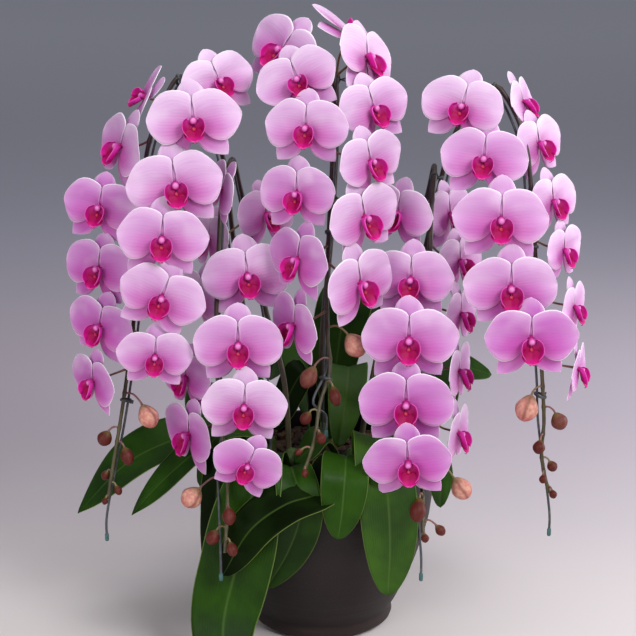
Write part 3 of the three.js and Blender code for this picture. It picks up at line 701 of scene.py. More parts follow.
def drawn_up(name, profile, sides, fill_type="NOTHING"):
    """A circle extruded ring by ring, from (height, radius) pairs, with its faces outward."""
    height, radius = profile[0]
    piece = added(bpy.ops.mesh.primitive_circle_add, vertices=sides, radius=radius,
                  fill_type=fill_type, location=(0, 0, height))
    bpy.ops.object.transform_apply()
    bpy.ops.object.mode_set(mode="EDIT")
    bpy.ops.mesh.select_all(action="SELECT")
    for (low, narrow), (high, wide) in zip(profile, profile[1:]):
        bpy.ops.mesh.extrude_region_move(TRANSFORM_OT_translate={"value": (0, 0, high - low)})
        bpy.ops.transform.resize(value=(wide / narrow, wide / narrow, 1))
    if fill_type == "NOTHING":
        bpy.ops.mesh.edge_face_add()
    bpy.ops.mesh.select_all(action="SELECT")
    bpy.ops.mesh.normals_make_consistent(inside=False)
    bpy.ops.object.mode_set(mode="OBJECT")
    return joined(name, [piece])


def pillar(name, profile, centre, tilt=0):
    """A short smooth pillar with a closed top, tilted and set on its place."""
    piece = drawn_up(name, profile, 14)
    bpy.ops.object.shade_smooth()
    piece.data.transform(Matrix.Translation(centre) @ Matrix.Rotation(tilt, 4, "X"))
    return piece


def tendril(side):
    """A thin curl from the tip of the middle lobe."""
    points = even_points([Vector((side * x, y, z)) for x, y, z in TENDRIL_ROUTE], TENDRIL_STEPS)
    return points, [0.55 - 0.03 * i for i in range(TENDRIL_STEPS + 1)]


def lip_parts():
    parts = [
        (sheet("ear_left", 12, 10, ear_place(-1), 0.7), 0),
        (sheet("ear_right", 12, 10, ear_place(1), 0.7), 0),
        (sheet("lobe", 12, 14, lobe_place, 0.9), 1),
        (rods("tendrils", [tendril(-1), tendril(1)], 1), 1),
        (pillar("callus", CALLUS_PROFILE, (0, -13.5, 5.4), math.radians(-20)), 2),
        (pillar("column", COLUMN_PROFILE, (0, -1.5, 0), math.radians(14)), 3),
    ]
    for piece, part in parts:
        noted(piece.data, "part", [part] * len(piece.data.vertices))
    return [piece for piece, _ in parts]


LIP_AND_COLUMN = joined("lip_and_column", lip_parts())
places = corners_of(LIP_AND_COLUMN.data) / HALF_BLOOM
noted(LIP_AND_COLUMN.data, "on_face", places, "FLOAT_VECTOR")
print("lip and column:", len(LIP_AND_COLUMN.data.polygons), "faces")

# %% [markdown]
# ## Setting the blooms on their spikes
# Every bloom is a copy of the first with a mesh of its own. A living petal is never quite flat
# or quite the same as the next, so each copy cups, twists and ripples a little in its own way
# before it is turned to face as the real one does.

# %% Bloom copies
def facing(yaw, pitch, roll):
    """The turn of a bloom that looks along its yaw and pitch, in degrees."""
    yaw, pitch, roll = (math.radians(n) for n in (yaw, pitch, roll))
    right = Vector((math.cos(yaw), math.sin(yaw), 0))
    forward = Vector((
        math.sin(yaw) * math.cos(pitch), -math.cos(yaw) * math.cos(pitch), math.sin(pitch),
    ))
    up = forward.cross(right)
    return Matrix((right, up, forward)).transposed().to_4x4() @ Matrix.Rotation(-roll, 4, "Z")


def copy_of(master, name, places, matrix):
    """A copy with its own mesh, its corners at these places and then moved by the matrix."""
    piece = bpy.data.objects.new(name, master.data.copy())
    bpy.context.collection.objects.link(piece)
    piece.data.vertices.foreach_set("co", np.ravel(places))
    piece.data.transform(matrix)
    return piece


def living(places):
    """The corners of a bloom, cupped, twisted and rippled at random."""
    x, y, z = places.T
    reach = np.hypot(x, y) / HALF_BLOOM
    angle = np.arctan2(y, x)
    cup, twist = random.uniform(-1.5, 2.0), random.uniform(-2, 2)
    wave, phase = random.uniform(0.5, 1.4), random.uniform(0, 6.3)
    moved = cup * reach ** 2 + twist * reach * np.sin(2 * angle)
    moved += wave * reach ** 3 * np.sin(5 * angle + phase)
    grown = 1 + 0.022 * np.sin(3 * angle + 2 * phase) + 0.014 * np.sin(8 * angle + 5 * phase)
    return np.column_stack([x * grown, y * grown, z + moved])


BLOOM_PLACES = corners_of(BLOOM_FACE.data)
LIP_PLACES = corners_of(LIP_AND_COLUMN.data)
for plant in SPIKES:
    faces, lips = [], []
    for px, py, y, yaw, pitch, roll, size, tone in plant["blooms"]:
        matrix = Matrix.Translation(at(px, py, y)) @ facing(yaw, pitch, roll)
        matrix = matrix @ Matrix.Scale(size, 4)
        face = copy_of(BLOOM_FACE, "face", living(BLOOM_PLACES), matrix)
        # The tone is partly each bloom's own colour and partly painted light and shade.
        tone = min(1, max(0, tone + random.uniform(-0.06, 0.06)))
        noted(face.data, "tone", [tone] * len(face.data.vertices))
        faces.append(face)
        lips.append(copy_of(LIP_AND_COLUMN, "lip", LIP_PLACES, matrix))
    name = plant["name"]
    in_metres(joined(f"blooms_{name}", faces), f"spike_{name}", slot="petal", finish=PETAL)
    in_metres(joined(f"lips_{name}", lips), f"spike_{name}", slot="petal", finish=LIP)
for master in (BLOOM_FACE, LIP_AND_COLUMN):
    bpy.data.objects.remove(master)

# %% [markdown]
# ## Stems and pedicels
# The stem is thick and green-brown at its foot and thin and purple at its tip. Each bloom hangs
# on a pedicel, which leaves the stem at a small swelling, the node, where it passes nearest,
# and bends forward to the back of the bloom. Both are curves with a bevel, because those take a
# radius at every step, which is all that a node needs.

# %% Stems
STEM_FOOT_RADIUS, STEM_TIP_RADIUS = 3.6, 2.0
FINE_STEM_STEPS = 240
PEDICEL_RADIUS = 1.3
PEDICEL_BACK, PEDICEL_RISE = 22, 14
PEDICEL_STEPS = 12
NODE_SWELL, NODE_LENGTH = 0.28, 3


def stem_finish():
    finish = Finish("stem", roughness=0.45)
    place = finish.object_place()
    x, y, z = finish.split(place)
    streak = finish.noise(finish.joined(x, y, z * 0.2), 420)
    mottle = finish.noise(place, 60)
    height = (z + mottle * 0.08).between(0.24, 0.62)
    finish.colour(
        finish.mix(height, (74, 70, 38), (52, 38, 34)),
        (mottle.between(0.4, 0.7) * 0.6, (46, 34, 30)),
        (streak.between(0.5, 0.8) * 0.3, (110, 92, 66)),
    )
    finish.relief(streak, 0.0003, 0.4)
    return finish.done()


def pedicel_finish():
    finish = Finish("pedicel", roughness=0.5, subsurface_weight=0.1)
    place = finish.object_place()
    finish.colour(
        finish.mix(finish.noise(place, 90).between(0.35, 0.65), (128, 88, 84), (98, 58, 66)),
        (finish.noise(place, 30).between(0.4, 0.6) * 0.7, (120, 112, 66)),
    )
    finish.relief(finish.noise(place, 500), 0.0003, 0.3)
    return finish.done()


def nearest(points, target):
    return min(points, key=lambda point: (point - target).length)


def pedicel(stem, px, py, y, yaw, pitch, roll, size, _):
    """From the back of a bloom, straight out behind it and then round to the stem."""
    hub = at(px, py, y)
    forward = facing(yaw, pitch, roll).col[2].xyz
    back = hub - forward * PEDICEL_BACK
    root = nearest(stem, back + Vector((0, 0, PEDICEL_RISE)))
    start = hub - forward * size
    bend = (start + root) * 0.25 + back * 0.5
    half = PEDICEL_STEPS / 2
    radii = [
        PEDICEL_RADIUS * (1 + 0.5 * abs(i / half - 1) ** 3) for i in range(PEDICEL_STEPS + 1)
    ]
    return even_points([start, bend, root], PEDICEL_STEPS), radii


def bud_root(stem, middle, long):
    return nearest(stem, middle + Vector((0, 0, 0.7 * long)))


def stem_radii(stem, roots):
    """The stem's radius at each step, narrowing to its tip and swollen at each node."""
    radii = []
    for i, point in enumerate(stem):
        plain = STEM_FOOT_RADIUS + (STEM_TIP_RADIUS - STEM_FOOT_RADIUS) * (i / FINE_STEM_STEPS)
        to_node = min((point - root).length for root in roots)
        radii.append(plain * (1 + NODE_SWELL * math.exp(-(to_node / NODE_LENGTH) ** 2)))
    return radii


STEM = stem_finish()
PEDICEL = pedicel_finish()
for plant in SPIKES:
    name = plant["name"]
    stem = plant["fine_stem"] = even_points(plant["corners"], FINE_STEM_STEPS)
    runs = [pedicel(stem, *bloom) for bloom in plant["blooms"]]
    roots = [points[-1] for points, _ in runs]
    roots += [bud_root(stem, at(px, py, y), long) for px, py, y, long, _ in plant["buds"]]
    whole_stem = rods(f"stem_{name}", [(stem, stem_radii(stem, roots))], 3)
    in_metres(whole_stem, f"spike_{name}", slot="crown", finish=STEM)
    in_metres(rods(f"pedicels_{name}", runs), f"spike_{name}", slot="petal", finish=PEDICEL)

# %% [markdown]
# ## Buds
# The buds at the end of a spike are the flowers still to come: eggs with three shallow seams
# where the sepals meet, the big ones peach with a red tip, the small ones red-brown. The seams
# need corners all round, so one egg is shaped from a sphere, and every bud is a copy that hangs
# from its own bent stalk.

# %% Buds
BUD_STALK_RADII = [1.8, 1.4] + [1.2] * 10 + [1.7]


def bud_finish():
    finish = Finish("bud", roughness=0.48, specular_ior_level=0.2, subsurface_weight=0.15,
                    subsurface_radius=(0.004, 0.002, 0.001), subsurface_scale=1.0)
    place = finish.vector("on_bud")
    _, _, z = finish.split(place)
    seam, ripe = finish.value("seam"), finish.value("tone")
    tip = 1 - z.between(-0.5, -0.05)
    collar = z.between(0.2, 0.45)
    shade = finish.mix(ripe, (74, 30, 18), (186, 112, 104))
    finish.colour(
        finish.mix(ripe, (90, 28, 24), (212, 160, 140)),
        (finish.noise(place, 5).between(0.35, 0.65) * 0.8, shade),
        (tip * 0.6, finish.mix(ripe, (84, 28, 26), (184, 84, 92))),
        (collar * 0.6, (104, 96, 48)),
        (seam * 0.6, (104, 52, 48)),
    )
    finish.relief(finish.noise(place, 30), 0.0005, 0.3)
    return finish.done()


def egg():
    """A bud 1 long and 1 wide that points down, with three seams."""
    piece = added(bpy.ops.mesh.primitive_uv_sphere_add, segments=24, ring_count=16, radius=0.5)
    seams = []
    for corner in piece.data.vertices:
        x, y, z = corner.co
        angle = math.atan2(y, x)
        seam = max(0, math.cos(1.5 * angle) ** 2 * 6 - 5) * min(1, (0.25 - z * z) * 8)
        fullness = 1 + 0.16 * math.cos(math.pi * (z + 0.12)) - 0.34 * max(0, z) - 0.1 - 0.07 * seam
        corner.co = (x * fullness, y * fullness, z)
        seams.append(seam)
    noted(piece.data, "seam", seams)
    noted(piece.data, "on_bud", corners_of(piece.data), "FLOAT_VECTOR")
    bpy.ops.object.shade_smooth()
    return piece


BUD = bud_finish()
EGG = egg()
EGG_PLACES = corners_of(EGG.data)
for plant in SPIKES:
    name, stem, buds, stalks = plant["name"], plant["fine_stem"], [], []
    for px, py, y, long, wide in plant["buds"]:
        middle = at(px, py, y)
        root = bud_root(stem, middle, long)
        axis = (root - middle + Vector((0, 0, 0.9 * long))).normalized()
        turn = axis.to_track_quat("Z", "Y").to_matrix().to_4x4()
        spin = Matrix.Rotation(random.uniform(0, 6.3), 4, "Z")
        size = Matrix.Diagonal((wide, wide, long, 1))
        bud = copy_of(EGG, "bud", EGG_PLACES, Matrix.Translation(middle) @ turn @ spin @ size)
        ripe = min(1, max(0, (wide - 18.5) / 4 + random.uniform(-0.05, 0.05)))
        noted(bud.data, "tone", [ripe] * len(bud.data.vertices))
        buds.append(bud)
        top = middle + axis * 0.62 * long
        over = (top + root) / 2 + Vector((0, 0, 0.2 * (root - top).length))
        route = [middle + axis * 0.44 * long, top, over, root]
        stalks.append((even_points(route, len(BUD_STALK_RADII) - 1), BUD_STALK_RADII))
    in_metres(joined(f"buds_{name}", buds), f"spike_{name}", slot="petal", finish=BUD)
    in_metres(rods(f"bud_stalks_{name}", stalks), f"spike_{name}", slot="petal", finish=PEDICEL)
bpy.data.objects.remove(EGG)

# %% [markdown]
# ## Wires and caps
# A florist's wire, coated in dark grey, stands in the bark beside each stem and follows the
# inner side of its arch, 8 mm from the stem's middle. Its free end hangs down in a soft cap. A
# wire is one bent rod in life too, so it is a curve with a bevel, and the cap is a second,
# shorter one whose radius changes.

# %% Wires
WIRE_RADIUS = 1.5
WIRE_OFFSET = 8
WIRE_STEPS = 200
STAKE_FROM = 5
BARK_TOP, STAKE_DEPTH = 202, 60
CAP_RISE = 22
CAP_RINGS = [(5, 1.7), (4, 2.3), (2, 2.4), (-3, 2.4), (-4.4, 2.0), (-5, 1.0)]


def stake_corners(plant):
    corners = plant["corners"]
    focus = (corners[STAKE_FROM + 2] + corners[STEM_STEPS - 6]) / 2
    x, y = plant["stake"]
    route = [Vector((x, y, BARK_TOP - STAKE_DEPTH)), Vector((x, y, BARK_TOP + STAKE_DEPTH))]
    for i in range(STAKE_FROM, plant["stake_to"]):
        along = (corners[i + 1] - corners[i - 1]).normalized()
        inward = focus - corners[i]
        inward -= along * inward.dot(along)
        route.append(corners[i] + inward.normalized() * WIRE_OFFSET)
    end = plant["stake_tail"][-1]
    return [*route, *plant["stake_tail"][:-1], end + Vector((0, 1, CAP_RISE)), end]


def wire_finish():
    finish = Finish("wire")
    place = finish.object_place()
    wear = finish.noise(place, 160, detail=6).between(0.45, 0.75)
    finish.colour(finish.mix(wear, (58, 62, 66), (84, 88, 92)))
    finish.roughness(0.42 + wear * 0.2)
    finish.relief(finish.noise(place, 900), 0.0002, 0.3)
    return finish.done()


def cap_finish():
    finish = Finish("cap")
    dust = finish.noise(finish.object_place(), 220)
    finish.colour(finish.mix(dust.between(0.4, 0.7), (44, 84, 84), (70, 108, 106)))
    finish.roughness(0.5 + dust * 0.2)
    finish.relief(dust, 0.0002, 0.3)
    return finish.done()


WIRE, CAP = wire_finish(), cap_finish()
for plant in SPIKES:
    name, end = plant["name"], plant["stake_tail"][-1]
    wire = plant["wire"] = even_points(stake_corners(plant), WIRE_STEPS)
    wire_run = (wire, [WIRE_RADIUS] * len(wire))
    cap_run = ([end + Vector((0, 0, up)) for up, _ in CAP_RINGS], [wide for _, wide in CAP_RINGS])
    in_metres(rods(f"wire_{name}", [wire_run]), f"stake_{name}", slot="wire", finish=WIRE)
    in_metres(rods(f"cap_{name}", [cap_run], 3), f"stake_{name}", slot="wire", finish=CAP)

# %% [markdown]
# ## Clips
# Small spring clips hold the stem to the wire, each a band with two finger tabs. A ring
# stretched in edit mode has a round edge all the way, so it makes the band, and the tabs are
# blocks with rounded edges. Every clip is set across its stem and wire.

# %% Clips
CLIP_SHARES = [0.34, 0.5, 0.7, 0.88]
CLIP_REACH = 10
BAND_RADIUS, BAND_EDGE_RADIUS = 4.2, 0.8
BAND_STRETCH = (1.75, 1, 2.2)
TAB_SIZE = (1.0, 7, 4.4)
TAB_ASIDE, TAB_BACK, TAB_TURN = 0.5, 7.5, 0.35


def clip(stem_place, wire_place, along):
    """A band round the stem and its wire, with two finger tabs at its back."""
    band = added(bpy.ops.mesh.primitive_torus_add, major_segments=20, minor_segments=8,
                 major_radius=BAND_RADIUS, minor_radius=BAND_EDGE_RADIUS)
    bpy.ops.object.mode_set(mode="EDIT")
    bpy.ops.mesh.select_all(action="SELECT")
    bpy.ops.transform.resize(value=BAND_STRETCH)
    bpy.ops.object.mode_set(mode="OBJECT")
    tabs = []
    for side in (-1, 1):
        place = (TAB_ASIDE * side, TAB_BACK, 0)
        tab = added(bpy.ops.mesh.primitive_cube_add, size=1, location=place)
        tab.scale = TAB_SIZE
        tab.rotation_euler.z = -TAB_TURN * side
        bpy.ops.object.transform_apply()
        tabs.append(applied(tab, "BEVEL", width=0.45, segments=2))
    whole = joined("clip", [band, *tabs])
    bpy.ops.object.shade_smooth_by_angle(angle=math.radians(40))
    across = (wire_place - stem_place).normalized()
    back = along.cross(across).normalized()
    turn = Matrix((across, back, across.cross(back))).transposed().to_4x4()
    middle = (stem_place + wire_place) / 2
    whole.data.transform(Matrix.Translation(middle) @ turn)
    return whole


for plant in SPIKES:
    clips, stem = [], plant["fine_stem"]
    for share in CLIP_SHARES:
        i = round(share * FINE_STEM_STEPS)
        on_wire = nearest(plant["wire"], stem[i])
        if (on_wire - stem[i]).length < CLIP_REACH:
            clips.append(clip(stem[i], on_wire, (stem[i + 1] - stem[i - 1]).normalized()))
    in_metres(joined(f"clips_{plant['name']}", clips), slot="wire", finish=WIRE)

# %% [markdown]
# ## Leaves
# Moth orchid leaves are broad, thick and leathery. They fold up like a shallow keel at the
# foot, arch over and end in a blunt point. Bent by a curve modifier, the keel wouldn't open on
# the way out, so the corners are placed one by one. Each leaf is listed with its plant, the
# height of its foot, its width, the taper of its tip, the way it looks where it hangs (None
# where that is along its route), its roll, and the route of its midrib.

# %% Leaf routes
LEAVES = [
    ("a", 220, 78, 1, None, -22, [
        at(222, 428, 24), at(178, 438, 14), at(128, 462, -2), at(77, 513, -18),
    ]),
    ("a", 207, 42, 1, None, -20, [
        Vector((-106, 4, 222)), at(204, 446, -38), at(178, 466, -54), at(155, 488, -62),
        at(131, 515, -66),
    ]),
    ("a", 220, 34, 0.6, None, -10, [
        Vector((-78, -40, 248)), at(216, 436, -64), at(207, 462, -78), at(199, 486, -80),
    ]),
    ("b", 219, 86, 0.6, -12, 0, [
        at(266, 457, -106), at(254, 489, -140), at(238, 560, -146), at(224, 618, -150),
        Vector((-118, -176, 16)), Vector((-130, -214, 5)),
    ]),
    ("a", 208, 38, 0.6, -30, 0, [
        Vector((-92, -46, 233)), Vector((-117, -90, 241)), at(214, 520, -106), at(209, 582, -94),
    ]),
    ("d", 206, 58, 0.6, None, -28, [
        Vector((12, -122, 239)), at(322, 491, -151), at(286, 504, -164), at(252, 528, -174),
        at(222, 576, -162),
    ]),
    ("b", 209, 52, 0.6, -8, -4, [
        Vector((-38, -98, 222)), Vector((-36, -126, 241)), at(298, 490, -150), at(300, 516, -150),
        at(288, 552, -138), at(266, 589, -120),
    ]),
    ("c", 214, 50, 0.6, None, -16, [
        at(304, 372, 12), at(290, 392, 4), at(281, 414, 0), at(275, 430, -2),
    ]),
    ("c", 222, 46, 0.6, None, 0, [
        at(348, 366, -8), at(347, 388, -54), at(343, 420, -78), at(338, 448, -86),
    ]),
    ("d", 220, 42, 0.6, None, -10, [at(322, 438, -68), at(308, 450, -80), at(294, 462, -84)]),
    ("d", 214, 54, 0.6, 0, 0, [
        Vector((28, -118, 252)), at(345, 476, -166), at(342, 512, -174), at(338, 540, -168),
    ]),
    ("d", 222, 66, 0.6, 0, 0, [
        at(374, 436, -112), at(386, 484, -160), at(390, 540, -164), at(388, 597, -156),
    ]),
    ("e", 206, 40, 0.6, None, 10, [
        Vector((80, -36, 240)), at(426, 450, -68), at(440, 476, -92), at(441, 508, -94),
    ]),
    ("e", 218, 62, 0.6, None, 26, [at(424, 382, 40), at(458, 366, 50), at(492, 374, 56)]),
    ("a", 212, 76, 0.6, None, 0, [
        Vector((-106, 84, 268)), Vector((-140, 146, 250)), Vector((-162, 190, 180)),
    ]),
    ("c", 210, 78, 0.6, None, 0, [
        Vector((-26, 112, 320)), Vector((-52, 184, 308)), Vector((-70, 236, 232)),
    ]),
    ("c", 218, 74, 0.6, None, 0, [
        Vector((32, 106, 376)), Vector((56, 170, 380)), Vector((76, 232, 316)),
    ]),
    ("e", 210, 76, 0.6, None, 0, [
        Vector((116, 84, 270)), Vector((142, 154, 256)), Vector((158, 206, 184)),
    ]),
]
print("leaves:", len(LEAVES))

# %% [markdown]
# The blade is a cloudy deep green with fine lines along it, a pale midrib that is a painted
# highlight along its groove and a thin pale rim that is a painted highlight along its edges.
# The lines run with the leaf, so they come from its UV map, and the clouds from its place. Some
# leaves lie in the light and some in shade, so the same finish is mixed three times.

# %% Leaf finish
def leaf_finish(name, dark, light, gloss):
    finish = Finish(name, coat_weight=0.3 * gloss, coat_roughness=0.3, specular_ior_level=gloss)
    u, v, _ = finish.uv()
    side = ((u - 0.5) * 2).math("ABSOLUTE")
    mottle = finish.noise(finish.object_place(), 16)
    lines = (u * 150 + mottle * 1.5).math("SINE") * 0.5 + 0.5
    cross = finish.noise(finish.joined(u * 60, v * 9, mottle), 2.4)
    # The rim is a painted highlight along the edges of the blade.
    rim = side.between(0.965, 0.995) * v.between(0.05, 0.2)
    finish.colour(
        finish.mix(mottle.between(0.3, 0.7), dark, light),
        (cross.between(0.5, 0.75) * 0.35, dark),
        (lines * 0.16, light),
        # Painted highlights: a pale stripe along the midrib and a pale line along the rim.
        ((1 - side.between(0.0, 0.07)) * 0.35, (84, 112, 50)),
        (rim * 0.6, (120, 138, 70)),
    )
    finish.roughness(0.38 + mottle * 0.14)
    finish.relief(lines * 0.5 + cross * 0.5, 0.0006, 0.35)
    return finish.done()


LEAF = leaf_finish("leaf", (14, 40, 0), (36, 72, 0), 0.12)
BRIGHT_LEAF = leaf_finish("bright_leaf", (22, 52, 2), (52, 90, 8), 0.2)
DARK_LEAF = leaf_finish("dark_leaf", (5, 14, 1), (18, 36, 4), 0.04)

# %% [markdown]
# A sheet follows each route. The keel, the sunken midrib and slow waves along the edges are
# given to its corners, and the leaf thins towards its edges and tip.

# %% Leaf shapes
LEAF_THICKNESS = 2.0
LEAF_STEPS = 120
CROWN_RADIUS = 15
GAP = 0.3
LEAF_FOLD = 0.42


def leaf_half_width(s, width, taper):
    swell = 0.16 + 0.84 * math.sin(math.pi / 2 * min(1, s / 0.5))
    past = max(0, (s - 0.6) / 0.4)
    return 0.5 * width * swell * max(0, 1 - past * past) ** taper


def leaf_place(plant, foot, width, taper, turn, roll, route, wave):
    x, y = plant["crown"]
    out = (route[0] - Vector((x, y, 0))).xy.normalized() * (CROWN_RADIUS + GAP)
    spine = even_points([Vector((x + out.x, y + out.y, foot)), *route], LEAF_STEPS)
    if turn is None:
        heading = Vector((*(spine[-1] - spine[0]).xy, 0))
    else:
        heading = Vector((math.sin(math.radians(turn)), -math.cos(math.radians(turn)), 0))
    level = heading.cross(Vector((0, 0, 1))).normalized()

    def place(u, v):
        i = min(int(v * LEAF_STEPS), LEAF_STEPS - 1)
        centre = spine[i].lerp(spine[i + 1], v * LEAF_STEPS - i)
        along = (spine[min(i + 4, LEAF_STEPS)] - spine[max(i - 3, 0)]).normalized()
        side = (level - along * level.dot(along)).normalized()
        side.rotate(Matrix.Rotation(math.radians(roll) * min(1, 2 * v), 3, along))
        face = side.cross(along)
        half = leaf_half_width(v, width, taper)
        across = 2 * u - 1
        lift = half * LEAF_FOLD * (1 - v) ** 1.5 * abs(across) ** 1.25
        groove = -0.9 * math.exp(-(across * half / 2.2) ** 2)
        edge = wave * across * abs(across) * math.sin(9 * v + 2 * across + wave)
        edge *= math.sin(math.pi * v)
        return centre + side * across * half + face * (lift + groove + edge)

    return place


def leaf_rim(u, v):
    """How much of the thickness is left: the blade thins towards its edges and tip."""
    return 1 - 0.62 * max(abs(2 * u - 1) ** 3, v ** 6)


owners = {plant["name"]: plant for plant in SPIKES}
# Painted light and shade: leaves 9 and 12 take the copy painted lighter, 5, 6 and 8 the copy
# painted darker, and the rest the plain copy, painted as in light shade.
OTHER_FINISHES = {9: BRIGHT_LEAF, 12: BRIGHT_LEAF, 5: DARK_LEAF, 6: DARK_LEAF, 8: DARK_LEAF}
for number, (owner, *shape) in enumerate(LEAVES, 1):
    place = leaf_place(owners[owner], *shape, random.uniform(0.8, 1.8))
    leaf = sheet(f"fine_leaf_{number:02}", 16, 48, place, LEAF_THICKNESS, leaf_rim)
    in_metres(leaf, f"leaf_{number:02}", slot="leaf", finish=OTHER_FINISHES.get(number, LEAF))

# %% [markdown]
# ## Crowns
# A crown is the short stub that a plant's leaves and spike grow from, wrapped in the dry bases
# of old leaves. Little of it shows, so it is one circle drawn up ring by ring, and creased
# where one sheath ends and the next begins. Its foot is hidden in the bark and stays open.

# %% Crowns
CROWN_RINGS = [
    (178, 14.2), (190, 14.8), (198, 15), (204, 14.4), (208, 15), (216, 14.2), (219, 14.8),
    (226, 13.6), (231, 10.4), (235, 7.4), (238, 4.6),
]


def crown_finish():
    finish = Finish("crown", roughness=0.55)
    x, y, z = finish.split(finish.object_place())
    fibre = finish.noise(finish.joined(x, y, z * 0.12), 300)
    finish.colour(
        finish.mix(z.between(0.2, 0.235), (92, 82, 48), (70, 98, 38)),
        (fibre.between(0.45, 0.7) * 0.6, (46, 50, 24)),
    )
    finish.relief(fibre, 0.0008, 0.6)
    return finish.done()


CROWN = crown_finish()
for plant in SPIKES:
    crown = pillar(f"fine_crown_{plant['name']}", CROWN_RINGS, Vector((*plant["crown"], 0)))
    applied(crown, "SUBSURF", levels=2, render_levels=2)
    in_metres(crown, f"crown_{plant['name']}", slot="crown", finish=CROWN)

# %% [markdown]
# ## The pot
# The pot is thrown on a wheel, a bowl on a narrow foot with a shallow groove above it and a
# rolled rim. Its outline could be spun, but it is made the way a potter raises it: a disc drawn
# up and widened step by step, over the rim and down the inside.

# %% Pot
POT_OUTSIDE = [
    (0, 79), (2, 82), (5, 86), (9, 87.4), (13, 86.6), (17, 85.9), (19, 86.2), (22, 88),
    (31, 93.2), (42, 98.5), (53, 104.2), (65, 109.5), (80, 115.4), (97, 121), (118, 127.6),
    (140, 133), (172, 137), (200, 138.8), (206, 139.4), (209, 141.4), (213, 142.8),
    (217, 142.8), (220, 141.6), (221.8, 139.4),
]
POT_INSIDE = [
    (222, 137), (220.6, 134.6), (216, 133.2), (206, 132), (180, 128), (140, 119),
    (92, 110), (60, 92), (30, 74), (26, 60),
]


def pot_finish():
    finish = Finish("ceramic", specular_ior_level=0.3)
    place = finish.object_place()
    x, y, z = finish.split(place)
    throwing = finish.noise(finish.joined(x * 0.05, y * 0.05, z), 90, detail=5)
    cloud = finish.noise(place, 7, detail=4)
    finish.colour(
        finish.mix(cloud.between(0.3, 0.7), (15, 8, 8), (32, 20, 19)),
        (throwing.between(0.4, 0.7) * 0.4, (20, 13, 15)),
        ((1 - z.between(0.004, 0.026)) * 0.3, (60, 44, 40)),
        (finish.noise(place, 900).between(0.64, 0.7) * 0.4, (80, 64, 60)),
    )
    finish.roughness(0.46 + cloud * 0.18)
    finish.relief(throwing * 0.8 + finish.noise(place, 260) * 0.2, 0.0012, 0.7)
    return finish.done()


thrown_pot = drawn_up("thrown_pot", POT_OUTSIDE + POT_INSIDE, 120, "NGON")
bpy.ops.object.shade_smooth_by_angle(angle=math.radians(40))
in_metres(thrown_pot, "pot", slot="ceramic", finish=pot_finish())

# %% [markdown]
# ## Bark
# Orchids grow in coarse bark, not in soil. The solid that fills the pot stays, with a bark
# finish, and a layer of loose chips lies on it. Some two dozen faces are enough for each: one
# chip is a cube with broken edges, and the others are copies, stretched and turned at random,
# that stay clear of crowns and wires.

# %% Bark and its chips
CHIP_COUNT = 230
CHIP_SPREAD, CHIP_LIMIT = 125, 122
CHIP_CLEARANCE = 10
CHIP_SIZES = [(9, 19), (6, 11), (3, 6)]  # length, width and height, from and to


def bark_finish():
    finish = Finish("bark", roughness=0.85)
    place = finish.object_place()
    x, y, z = finish.split(place)
    grain = finish.noise(finish.joined(x, y * 0.3, z), 260, detail=5)
    finish.colour(
        finish.mix(finish.noise(place, 45).between(0.35, 0.65), (52, 36, 26), (96, 66, 44)),
        (grain.between(0.5, 0.75) * 0.6, (34, 24, 18)),
    )
    finish.relief(grain, 0.0012, 0.8)
    return finish.done()


def bark_height(reach):
    return float(np.interp(reach, [0, 101, 129], [BARK_TOP, BARK_TOP + 3, BARK_TOP - 4]))


def standing_room(x, y):
    """How far a place is from the nearest crown's side or wire."""
    room = []
    for plant in SPIKES:
        room.append(math.dist((x, y), plant["crown"]) - CROWN_RADIUS)
        room.append(math.dist((x, y), plant["stake"]))
    return min(room)


def bark_chips():
    chip = applied(added(bpy.ops.mesh.primitive_cube_add, size=1), "BEVEL", width=0.16, segments=1)
    places = corners_of(chip.data)
    chips = []
    while len(chips) < CHIP_COUNT:
        reach, angle = CHIP_SPREAD * random.random() ** 0.5, random.uniform(0, 2 * math.pi)
        x, y = reach * math.cos(angle), reach * math.sin(angle)
        if standing_room(x, y) < CHIP_CLEARANCE or reach > CHIP_LIMIT:
            continue
        long, wide, high = (random.uniform(*sizes) for sizes in CHIP_SIZES)
        rough = np.random.default_rng(len(chips)).uniform(-0.12, 0.12, places.shape)
        tilt = Matrix.Rotation(random.uniform(-0.3, 0.3), 4, "X")
        tilt = tilt @ Matrix.Rotation(random.uniform(-0.25, 0.25), 4, "Y")
        turn = Matrix.Rotation(random.uniform(0, 6.3), 4, "Z")
        size = Matrix.Diagonal((long, wide, high, 1))
        spot = Vector((x, y, bark_height(reach) + 0.3 * high + random.uniform(0, 3)))
        matrix = Matrix.Translation(spot) @ tilt @ turn @ size
        chips.append(copy_of(chip, "chip", places + rough, matrix))
    bpy.data.objects.remove(chip)
    return joined("bark_chips", chips)


BARK = bark_finish()
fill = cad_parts["bark"]
fill.data.materials.clear()
fill.data.materials.append(BARK)
in_metres(bark_chips(), slot="bark", finish=BARK)

# %% [markdown]
# ## Floor
# The plant stands on a plain pale floor whose tones are painted light and shade: warm and light
# in front and a cooler grey further off, painted shade as a studio sweep is out of the light, and
# lighter on the near left than on the near right. A sheet that rises behind would hide the plant
# from other sides, so the tones are laid across one wide flat sheet.

# %% Floor
FLOOR_SIZE, FLOOR_DROP = 40, 0.0005


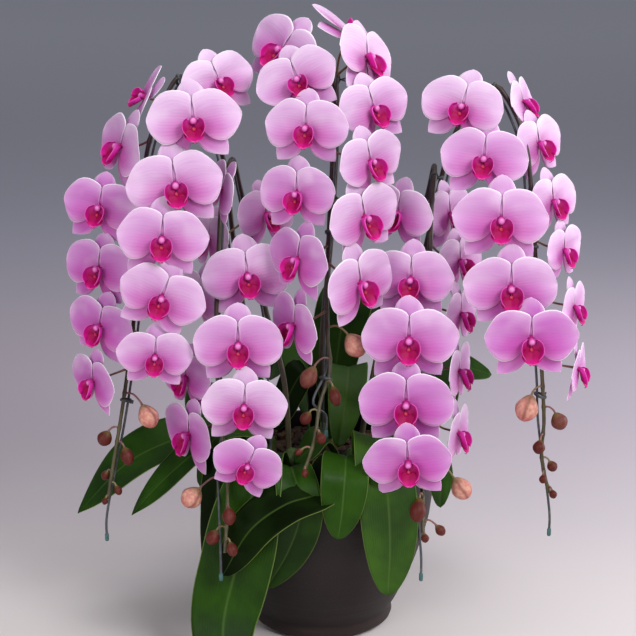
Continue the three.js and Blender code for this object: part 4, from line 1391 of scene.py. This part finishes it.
def floor_finish():
    finish = Finish("floor", roughness=0.6)
    place = finish.object_place()
    x, y, _ = finish.split(place)
    away = y + finish.noise(place, 1.2) * 0.3
    rightward = (x * 0.5 + 0.5).between(0.0, 1.0)
    # Painted light and shade: lighter on the near left than the near right, darker on the left
    # than the right at middle distance, a dim grey further off and lighter again far away.
    finish.colour(
        finish.mix(rightward, (236, 229, 225), (214, 207, 205)),
        (away.between(-0.3, 1.0), finish.mix(rightward, (174, 164, 174), (190, 180, 192))),
        (away.between(1.0, 2.6), (168, 167, 181)),
        (away.between(2.6, 7.0), (202, 203, 214)),
    )
    return finish.done()


floor = added(bpy.ops.mesh.primitive_plane_add, size=FLOOR_SIZE, location=(0, 0, -FLOOR_DROP))
floor.name = "floor"
bpy.ops.object.transform_apply()
floor.data.materials.append(floor_finish())

# %% [markdown]
# ## Lights
# The light is plain and soft. One lamp would leave the lower blooms in the dark, so a wide one
# high in front on the right gives the petals their glow, a second on the left fills the
# shadows, a third draws the thin bright line on the pot's right side, and a fourth lights the
# tops. A dim grey world does the rest.

# %% Lights and surroundings
def soft_light(name, place, target, size, power):
    lamp = bpy.data.lights.new(name, "AREA")
    lamp.shape = "RECTANGLE"
    lamp.size, lamp.size_y = size
    lamp.energy = power
    light = bpy.data.objects.new(name, lamp)
    light.location = place
    light.rotation_euler = (Vector(target) - Vector(place)).to_track_quat("-Z", "Y").to_euler()
    bpy.context.collection.objects.link(light)
    print("light:", name, power, "W")


soft_light("key", (1.6, -2.0, 2.4), (0, 0, 0.4), (1.3, 1.3), 70)
soft_light("fill", (-1.5, -2.3, 1.2), (0, 0, 0.4), (1.8, 1.6), 30)
soft_light("edge", (1.9, 0.5, 0.8), (0.1, 0, 0.2), (0.9, 1.4), 24)
soft_light("top", (0.2, 0.1, 2.6), (0, 0, 0.3), (1.6, 1.6), 18)

world = bpy.data.worlds.new("studio")
world.use_nodes = True
background = world.node_tree.nodes["Background"].inputs
background["Color"].default_value = (0.56, 0.57, 0.62, 1)
background["Strength"].default_value = 0.42
bpy.context.scene.world = world
bpy.context.scene.view_settings.view_transform = "Standard"

# %% [markdown]
# ## Camera
# The eye and the focal length are already known from the sight lines, so the camera stands
# there and tips down by the same pitch.

# %% Camera
SENSOR = 36
PICTURE_PX = 636
lens = bpy.data.cameras.new("camera")
lens.sensor_width = SENSOR
lens.lens = FOCAL_PX * SENSOR / PICTURE_PX
camera = bpy.data.objects.new("camera", lens)
camera.location = EYE * MM
camera.rotation_euler = (math.pi / 2 - PITCH, 0, 0)
bpy.context.collection.objects.link(camera)
bpy.context.scene.camera = camera
print("lens:", round(lens.lens, 2), "mm")
